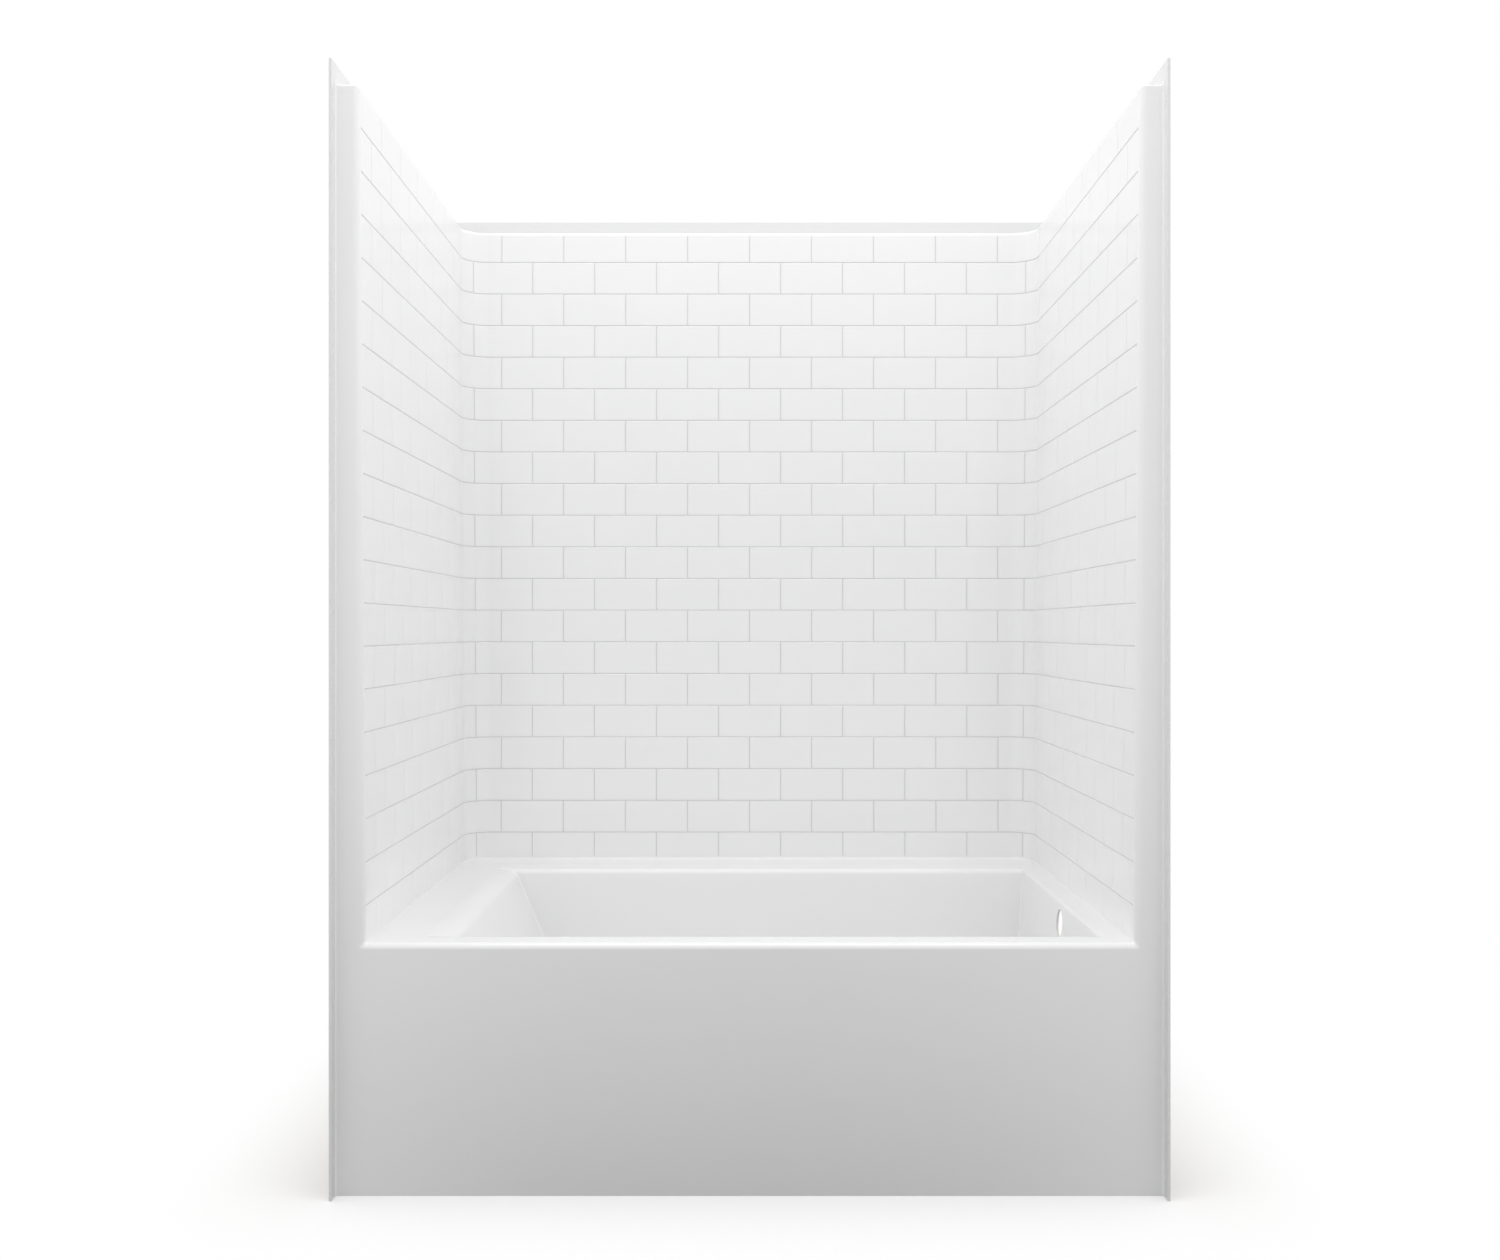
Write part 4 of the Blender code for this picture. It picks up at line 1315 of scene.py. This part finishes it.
@dataclass(frozen=True)
class Laminate:
    """Sprayed glass fibre behind the gelcoat: chopped strands set in resin."""

    resin: Colour = (0.70, 0.68, 0.60)
    strand: Colour = (0.83, 0.82, 0.77)
    patch_scale: float = 42.0
    strand_scale: float = 34.0
    strand_stretch: float = 11.0
    upright_seeds: Pair = (0.0, 3.7)
    level_seeds: Pair = (1.3, 5.1)
    pool_scale: float = 7.0
    lump_scale: float = 26.0
    lump_share: float = 1.6
    rough: Pair = (0.32, 0.62)
    relief: Pair = (0.6, 0.0016)

    def strands(self, board: SurfaceBoard, seed: float, squeeze: Axis) -> Socket:
        """One layer of strands, laid in patches that each have their own direction.

        Args:
            board: The material's board.
            seed: Shift of the pattern, which differs from layer to layer.
            squeeze: Axis across the strands.

        Returns:
            The strands' height.
        """
        moved = board.vector_maths("ADD", board.place, (seed, seed, seed))
        patch = board.add("ShaderNodeTexVoronoi", {"Vector": moved, "Scale": self.patch_scale})
        turn = board.add("ShaderNodeSeparateColor", {"Color": patch.outputs["Color"]}).outputs["Red"]
        angle = board.maths("MULTIPLY", turn, 2 * math.pi)
        turned = board.add(
            "ShaderNodeVectorRotate",
            {"Vector": moved, "Axis": board.normal, "Angle": angle},
            rotation_type="AXIS_ANGLE",
        ).outputs["Vector"]
        narrow = self.strand_scale * self.strand_stretch
        return board.noise(board.stretched(turned, squeeze, self.strand_scale, narrow), 1.0, detail=2.0)

    def make(self) -> bpy.types.Material:
        """Makes the material.

        Returns:
            The finished material.
        """
        board = SurfaceBoard("glass_fibre_laminate")
        upward = board.add("ShaderNodeSeparateXYZ", {"Vector": board.normal}).outputs["Z"]
        level = board.maths("ABSOLUTE", upward)
        layers = []
        for upright_seed, level_seed in zip(self.upright_seeds, self.level_seeds):
            wall = self.strands(board, upright_seed, Axis.Z)
            floor = self.strands(board, level_seed, Axis.Y)
            layers.append(board.mix(level, wall, floor))
        fibre = board.maths("MAXIMUM", *layers)
        colour = board.tint(board.spread(fibre), self.resin, self.strand)
        pool = board.noise(board.place, self.pool_scale, detail=4.0)
        lumps = board.maths("MULTIPLY", board.noise(board.place, self.lump_scale), self.lump_share)
        return board.finish(colour, pool, self.rough, board.maths("ADD", fibre, lumps), self.relief)


@dataclass(frozen=True)
class Speckled:
    """A surface of two close shades in fine speckles, which its gloss and bump follow."""

    name: str
    speckle_scale: float
    pale: Colour
    dark: Colour
    rough: Pair
    relief: Pair
    metallic: float = 0.0

    def make(self) -> bpy.types.Material:
        """Makes the material.

        Returns:
            The finished material.
        """
        board = SurfaceBoard(self.name)
        board.shader.inputs["Metallic"].default_value = self.metallic
        speckle = board.noise(board.place, self.speckle_scale)
        colour = board.tint(board.spread(speckle), self.pale, self.dark)
        return board.finish(colour, speckle, self.rough, speckle, self.relief)


@dataclass(frozen=True)
class TrimmedEdge(Speckled):
    """Sawn edge of the flange and of the holes, where the white laminate shows."""

    name: str = "trimmed_edge"
    speckle_scale: float = 420.0
    pale: Colour = (0.87, 0.87, 0.87)
    dark: Colour = (0.79, 0.79, 0.79)
    rough: Pair = (0.45, 0.65)
    relief: Pair = (0.3, 0.0004)


@dataclass(frozen=True)
class ZincSteel(Speckled):
    """Zinc-plated steel of the wood screws."""

    name: str = "zinc_steel"
    speckle_scale: float = 260.0
    pale: Colour = (0.80, 0.78, 0.70)
    dark: Colour = (0.62, 0.60, 0.52)
    rough: Pair = (0.26, 0.42)
    relief: Pair = (0.15, 0.0002)
    metallic: float = 1.0


@dataclass(frozen=True, kw_only=True)
class Wood:
    """Wood whose grain runs along one axis: wandering rings under fine pores.

    The scales of rings and pores are those across the grain and along it.
    """

    along: Axis
    pale: Colour
    dark: Colour
    ring_scales: Pair
    pore_scales: Pair
    ring_count: float
    ring_share: float
    rough: Pair
    relief: Pair

    def grain(self, board: SurfaceBoard) -> tuple[Socket, Socket]:
        """Lays the wood's grain.

        Args:
            board: The material's board.

        Returns:
            The grain, and its pores alone.
        """
        scales = (self.ring_scales, self.pore_scales)
        stretched = [board.stretched(board.place, self.along, *pair) for pair in scales]
        wander, pores = [board.noise(vector, 1.0, detail=2.0) for vector in stretched]
        rings = board.maths("SINE", board.maths("MULTIPLY", wander, self.ring_count))
        return board.maths("ADD", board.maths("MULTIPLY", rings, self.ring_share), pores), pores

    def dress(self, board: SurfaceBoard, grain: Socket, pores: Socket) -> bpy.types.Material:
        """Finishes the material with its grain."""
        colour = board.tint(board.spread(grain), self.pale, self.dark)
        return board.finish(colour, pores, self.rough, grain, self.relief)


@dataclass(frozen=True, kw_only=True)
class Softwood(Wood):
    """Planed softwood of the rails, runners, legs and uprights."""

    pale: Colour = (0.76, 0.57, 0.36)
    dark: Colour = (0.55, 0.34, 0.16)
    ring_scales: Pair = (46.0, 1.6)
    pore_scales: Pair = (520.0, 9.0)
    ring_count: float = 38.0
    ring_share: float = 0.24
    rough: Pair = (0.55, 0.75)
    relief: Pair = (0.35, 0.0006)

    def make(self) -> bpy.types.Material:
        """Makes the material.

        Returns:
            The finished material.
        """
        board = SurfaceBoard(f"pine_along_{self.along.name.lower()}")
        return self.dress(board, *self.grain(board))


@dataclass(frozen=True, kw_only=True)
class Plywood(Wood):
    """Plywood, with a veneer on its faces and its plies on the edges."""

    name: str
    across: Place
    start: float
    thickness: float
    plies: int = 5
    ply_edge: Pair = (0.42, 0.58)
    ply_shades: Pair = (0.35, 0.68)
    face_cosine: float = 0.7
    pale: Colour = (0.74, 0.58, 0.38)
    dark: Colour = (0.55, 0.38, 0.21)
    ring_scales: Pair = (22.0, 1.1)
    pore_scales: Pair = (420.0, 7.0)
    ring_count: float = 26.0
    ring_share: float = 0.14
    rough: Pair = (0.6, 0.8)
    relief: Pair = (0.3, 0.0005)

    def make(self) -> bpy.types.Material:
        """Makes the material.

        Returns:
            The finished material.
        """
        board = SurfaceBoard(self.name)
        veneer, pores = self.grain(board)
        depth = board.vector_maths("DOT_PRODUCT", board.place, self.across)
        share = board.maths("DIVIDE", board.maths("SUBTRACT", depth, self.start), self.thickness)
        folded = board.maths("PINGPONG", board.maths("MULTIPLY", share, float(self.plies)), 1.0)
        plies = board.ranged(folded, self.ply_edge, self.ply_shades)
        facing = board.vector_maths("DOT_PRODUCT", board.normal, self.across)
        on_face = board.maths("GREATER_THAN", board.maths("ABSOLUTE", facing), self.face_cosine)
        return self.dress(board, board.mix(on_face, plies, veneer), pores)


@dataclass(frozen=True)
class RigidFoam:
    """Cream rigid foam with fine cells."""

    pale: Colour = (0.84, 0.76, 0.53)
    dark: Colour = (0.70, 0.58, 0.33)
    cell_scale: float = 330.0
    cell_share: float = 0.35
    cloud_scale: float = 24.0
    cloud_share: float = 0.7
    rough: Pair = (0.8, 0.95)
    relief: Pair = (0.5, 0.0008)

    def make(self) -> bpy.types.Material:
        """Makes the material.

        Returns:
            The finished material.
        """
        board = SurfaceBoard("rigid_foam")
        voronoi = board.add("ShaderNodeTexVoronoi", {"Vector": board.place, "Scale": self.cell_scale})
        cells = voronoi.outputs["Distance"]
        cloud = board.noise(board.place, self.cloud_scale, detail=4.0)
        parts = ((cells, self.cell_share), (cloud, self.cloud_share))
        both = board.maths("ADD", *(board.maths("MULTIPLY", part, share) for part, share in parts))
        colour = board.tint(board.spread(both), self.pale, self.dark)
        return board.finish(colour, cloud, self.rough, cells, self.relief)


@dataclass
class OnePieceMoulding:
    """The white skin that the user sees, from the flange to the drain."""

    walls: WallPlan
    front_lip: float = 0.0564
    slot: str = "gelcoat"
    nodes: tuple[str, ...] = (
        "bathtub",
        "front_apron",
        "back_wall",
        "left_wall",
        "right_wall",
        "left_corner",
        "right_corner",
        "left_column",
        "right_column",
        "left_front_flange",
        "right_front_flange",
        "left_ledge",
        "right_ledge",
        "back_ledge",
        "left_top_flange",
        "right_top_flange",
        "back_top_flange",
    )

    def build(self) -> list[bpy.types.Object]:
        """Makes the moulding and dresses it.

        Returns:
            Its one piece.
        """
        basin = BasinPlan(front=self.walls.front_y + self.front_lip, rim=self.walls.rim)
        moulding = Skin(self.walls, basin).build()
        for number, finish in enumerate((Gelcoat(), Laminate(), TrimmedEdge())):
            moulding.data.materials[number] = finish.make()
        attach(moulding, BODY)
        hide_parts(*self.nodes)
        return [moulding]


@dataclass
class Support:
    """Timber, plywood, foam and screws behind and under the moulding."""

    frame: dict
    walls: WallPlan

    def names(self, slot: str, start: str = "") -> list[str]:
        """Looks up the CAD nodes of a material slot.

        Args:
            slot: The slot.
            start: How their names start.

        Returns:
            Their names.
        """
        rows = self.frame["record"]["subparts"]
        names = [row["node"] for row in rows if row["material_slot"] == slot]
        return [name for name in names if name.startswith(start)]

    def dress(self, names: Iterable[str], material: bpy.types.Material) -> list[bpy.types.Object]:
        """Gives CAD nodes a material.

        Args:
            names: Names of the nodes.
            material: The material.

        Returns:
            The nodes.
        """
        nodes = [self.frame["nodes"][name] for name in names]
        for node in nodes:
            for number in range(len(node.data.materials)):
                node.data.materials[number] = material
        return nodes

    def timber_axis(self, name: str) -> Axis:
        """Finds the direction of a piece of timber.

        Args:
            name: Its CAD node.

        Returns:
            The axis of its longest side.
        """
        low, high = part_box(name)
        size = high - low
        return Axis(max(range(3), key=lambda number: size[number]))

    def board(self, name: str, across: Place, along: Axis) -> Plywood:
        """A plywood finish whose plies follow a board's thickness.

        Args:
            name: The board's CAD node.
            across: Direction through the board.
            along: Direction of its grain.

        Returns:
            The finish.
        """
        vertices = self.frame["nodes"][name].data.vertices
        depths = [vertex.co.dot(Vector(across)) for vertex in vertices]
        start, thickness = min(depths), max(depths) - min(depths)
        return Plywood(name=f"plywood_{name}", across=across, start=start, thickness=thickness, along=along)

    def boards(self) -> dict[str, Plywood]:
        """The plywood finish of each board, by the start of the boards' names."""
        draft = self.walls.draft_share
        return {
            "base": self.board("base_board", (0, 0, 1), Axis.X),
            "back": self.board("back_board_1", (0, 1, -draft), Axis.X),
            "left": self.board("left_board_1", (-1, 0, -draft), Axis.Y),
            "right": self.board("right_board_1", (1, 0, -draft), Axis.Y),
        }

    def build(self) -> list[bpy.types.Object]:
        """Dresses every CAD node that stays in view.

        Returns:
            The dressed nodes.
        """
        pine = {axis: Softwood(along=axis).make() for axis in Axis}
        dressed = []
        for name in self.names("pine"):
            dressed += self.dress([name], pine[self.timber_axis(name)])
        for start, finish in self.boards().items():
            dressed += self.dress(self.names("plywood", start), finish.make())
        dressed += self.dress(self.names("foam"), RigidFoam().make())
        dressed += self.dress(self.names("screw_steel"), ZincSteel().make())
        return dressed


@dataclass
class Studio:
    """Floor, light and camera. The camera stands where the photograph was taken."""

    walls: WallPlan
    camera_back: float = 3.2384
    camera_height: float = 1.0346
    focal_length: float = 35.688
    sensor_width: float = 36.0
    shift_x: float = 0.00027
    floor_reach: float = 30.0
    floor_spot: Place = (0.0, -1.1, 0.0)
    floor_fade: Pair = (0.5, 1.6)
    floor_dark: float = 0.02
    floor_pale: float = 0.80
    floor_white: float = 0.97
    floor_rough: float = 0.9
    shadow_fade: Pair = (-0.15, 0.35)
    sky_level: float = 0.574
    sky_beside: float = 0.702
    key_place: Place = (0.0, -1.0, 4.5)
    key_target: Place = (0.0, -0.1, 0.0)
    key_size: Pair = (2.4, 1.2)
    key_power: float = 38.5

    def build(self) -> None:
        """Sets up everything round the object."""
        self.add_floor()
        self.add_world()
        self.add_key()
        self.add_camera()
        bpy.context.scene.view_settings.view_transform = "Standard"

    def add_floor(self) -> None:
        """Lays a plain pale floor that runs out into the white background."""
        bm = bmesh.new()
        bmesh.ops.create_grid(bm, x_segments=2, y_segments=2, size=self.floor_reach)
        mesh = bpy.data.meshes.new("floor")
        bm.to_mesh(mesh)
        bm.free()
        floor = bpy.data.objects.new("floor", mesh)
        bpy.context.scene.collection.objects.link(floor)
        mesh.materials.append(self.floor_material())
        floor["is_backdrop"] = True

    def floor_material(self) -> bpy.types.Material:
        """Makes the floor's material.

        What is seen of it is white, with the unit's shadow round its foot. The light that
        it throws back is weaker in front of the apron.

        Returns:
            The material.
        """
        board = SurfaceBoard("studio_floor")
        inputs = board.shader.inputs
        seen = board.seen()
        away = board.vector_maths("DISTANCE", board.place, self.floor_spot)
        fade = board.ranged(away, self.floor_fade, smooth=True)
        thrown = board.tint(fade, (self.floor_dark,) * 3, (self.floor_pale,) * 3)
        board.feed(inputs["Base Color"], board.tint(seen, thrown, (self.floor_white,) * 3))
        inputs["Roughness"].default_value = self.floor_rough
        inputs["Specular IOR Level"].default_value = 0.0
        folded = board.vector_maths("ABSOLUTE", board.place)
        beyond = board.vector_maths("SUBTRACT", folded, (self.walls.outer_x, self.walls.outer_y, 0.0))
        outside = board.vector_maths("MAXIMUM", beyond, (0.0, 0.0, 0.0))
        clear = board.ranged(board.vector_maths("LENGTH", outside), self.shadow_fade, smooth=True)
        white = board.add("ShaderNodeEmission", {"Color": WHITE, "Strength": 1.0})
        surface = board.either(board.maths("MULTIPLY", clear, seen), board.shader, white)
        board.feed(board.tree.nodes["Material Output"].inputs["Surface"], surface)
        return board.material

    def add_world(self) -> None:
        """Makes a soft sky that is brighter beside the unit, and is seen as plain white."""
        world = bpy.data.worlds.new("studio_sky")
        bpy.context.scene.world = world
        world.use_nodes = True
        world.node_tree.nodes.clear()
        board = NodeBoard(world.node_tree)
        direction = board.add("ShaderNodeTexCoord").outputs["Generated"]
        sideways = board.add("ShaderNodeSeparateXYZ", {"Vector": direction}).outputs["X"]
        beside = board.maths("MULTIPLY", board.maths("ABSOLUTE", sideways), self.sky_beside)
        strength = board.maths("ADD", beside, self.sky_level)
        lit = board.add("ShaderNodeBackground", {"Color": WHITE, "Strength": strength})
        plain = board.add("ShaderNodeBackground", {"Color": WHITE})
        board.add("ShaderNodeOutputWorld", {"Surface": board.either(board.seen(), lit, plain)})

    def add_key(self) -> None:
        """Hangs a rectangular lamp over the front of the unit."""
        light = bpy.data.lights.new("key_softbox", "AREA")
        light.shape = "RECTANGLE"
        light.size, light.size_y = self.key_size
        light.energy = self.key_power
        lamp = bpy.data.objects.new("key_softbox", light)
        lamp.location = self.key_place
        aim = Vector(self.key_target) - Vector(self.key_place)
        lamp.rotation_euler = aim.to_track_quat("-Z", "Y").to_euler()
        bpy.context.scene.collection.objects.link(lamp)

    def add_camera(self) -> None:
        """Places the camera straight in front of the unit."""
        data = bpy.data.cameras.new("photo_camera")
        data.lens = self.focal_length
        data.sensor_width = self.sensor_width
        data.shift_x = self.shift_x
        camera = bpy.data.objects.new("photo_camera", data)
        camera.location = (0, -self.camera_back, self.camera_height)
        camera.rotation_euler = (QUARTER, 0, 0)
        bpy.context.scene.collection.objects.link(camera)
        bpy.context.scene.camera = camera


def main() -> None:
    """Builds the looks round the frame."""
    logging.basicConfig(level=logging.INFO, format="%(message)s")
    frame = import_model()
    walls = WallPlan.from_frame()
    pieces = OnePieceMoulding(walls).build() + Support(frame, walls).build()
    for piece in pieces:
        LOG.info("%s: %d faces", piece.name, len(piece.data.polygons))
    Studio(walls).build()


if __name__ == "__main__":
    main()
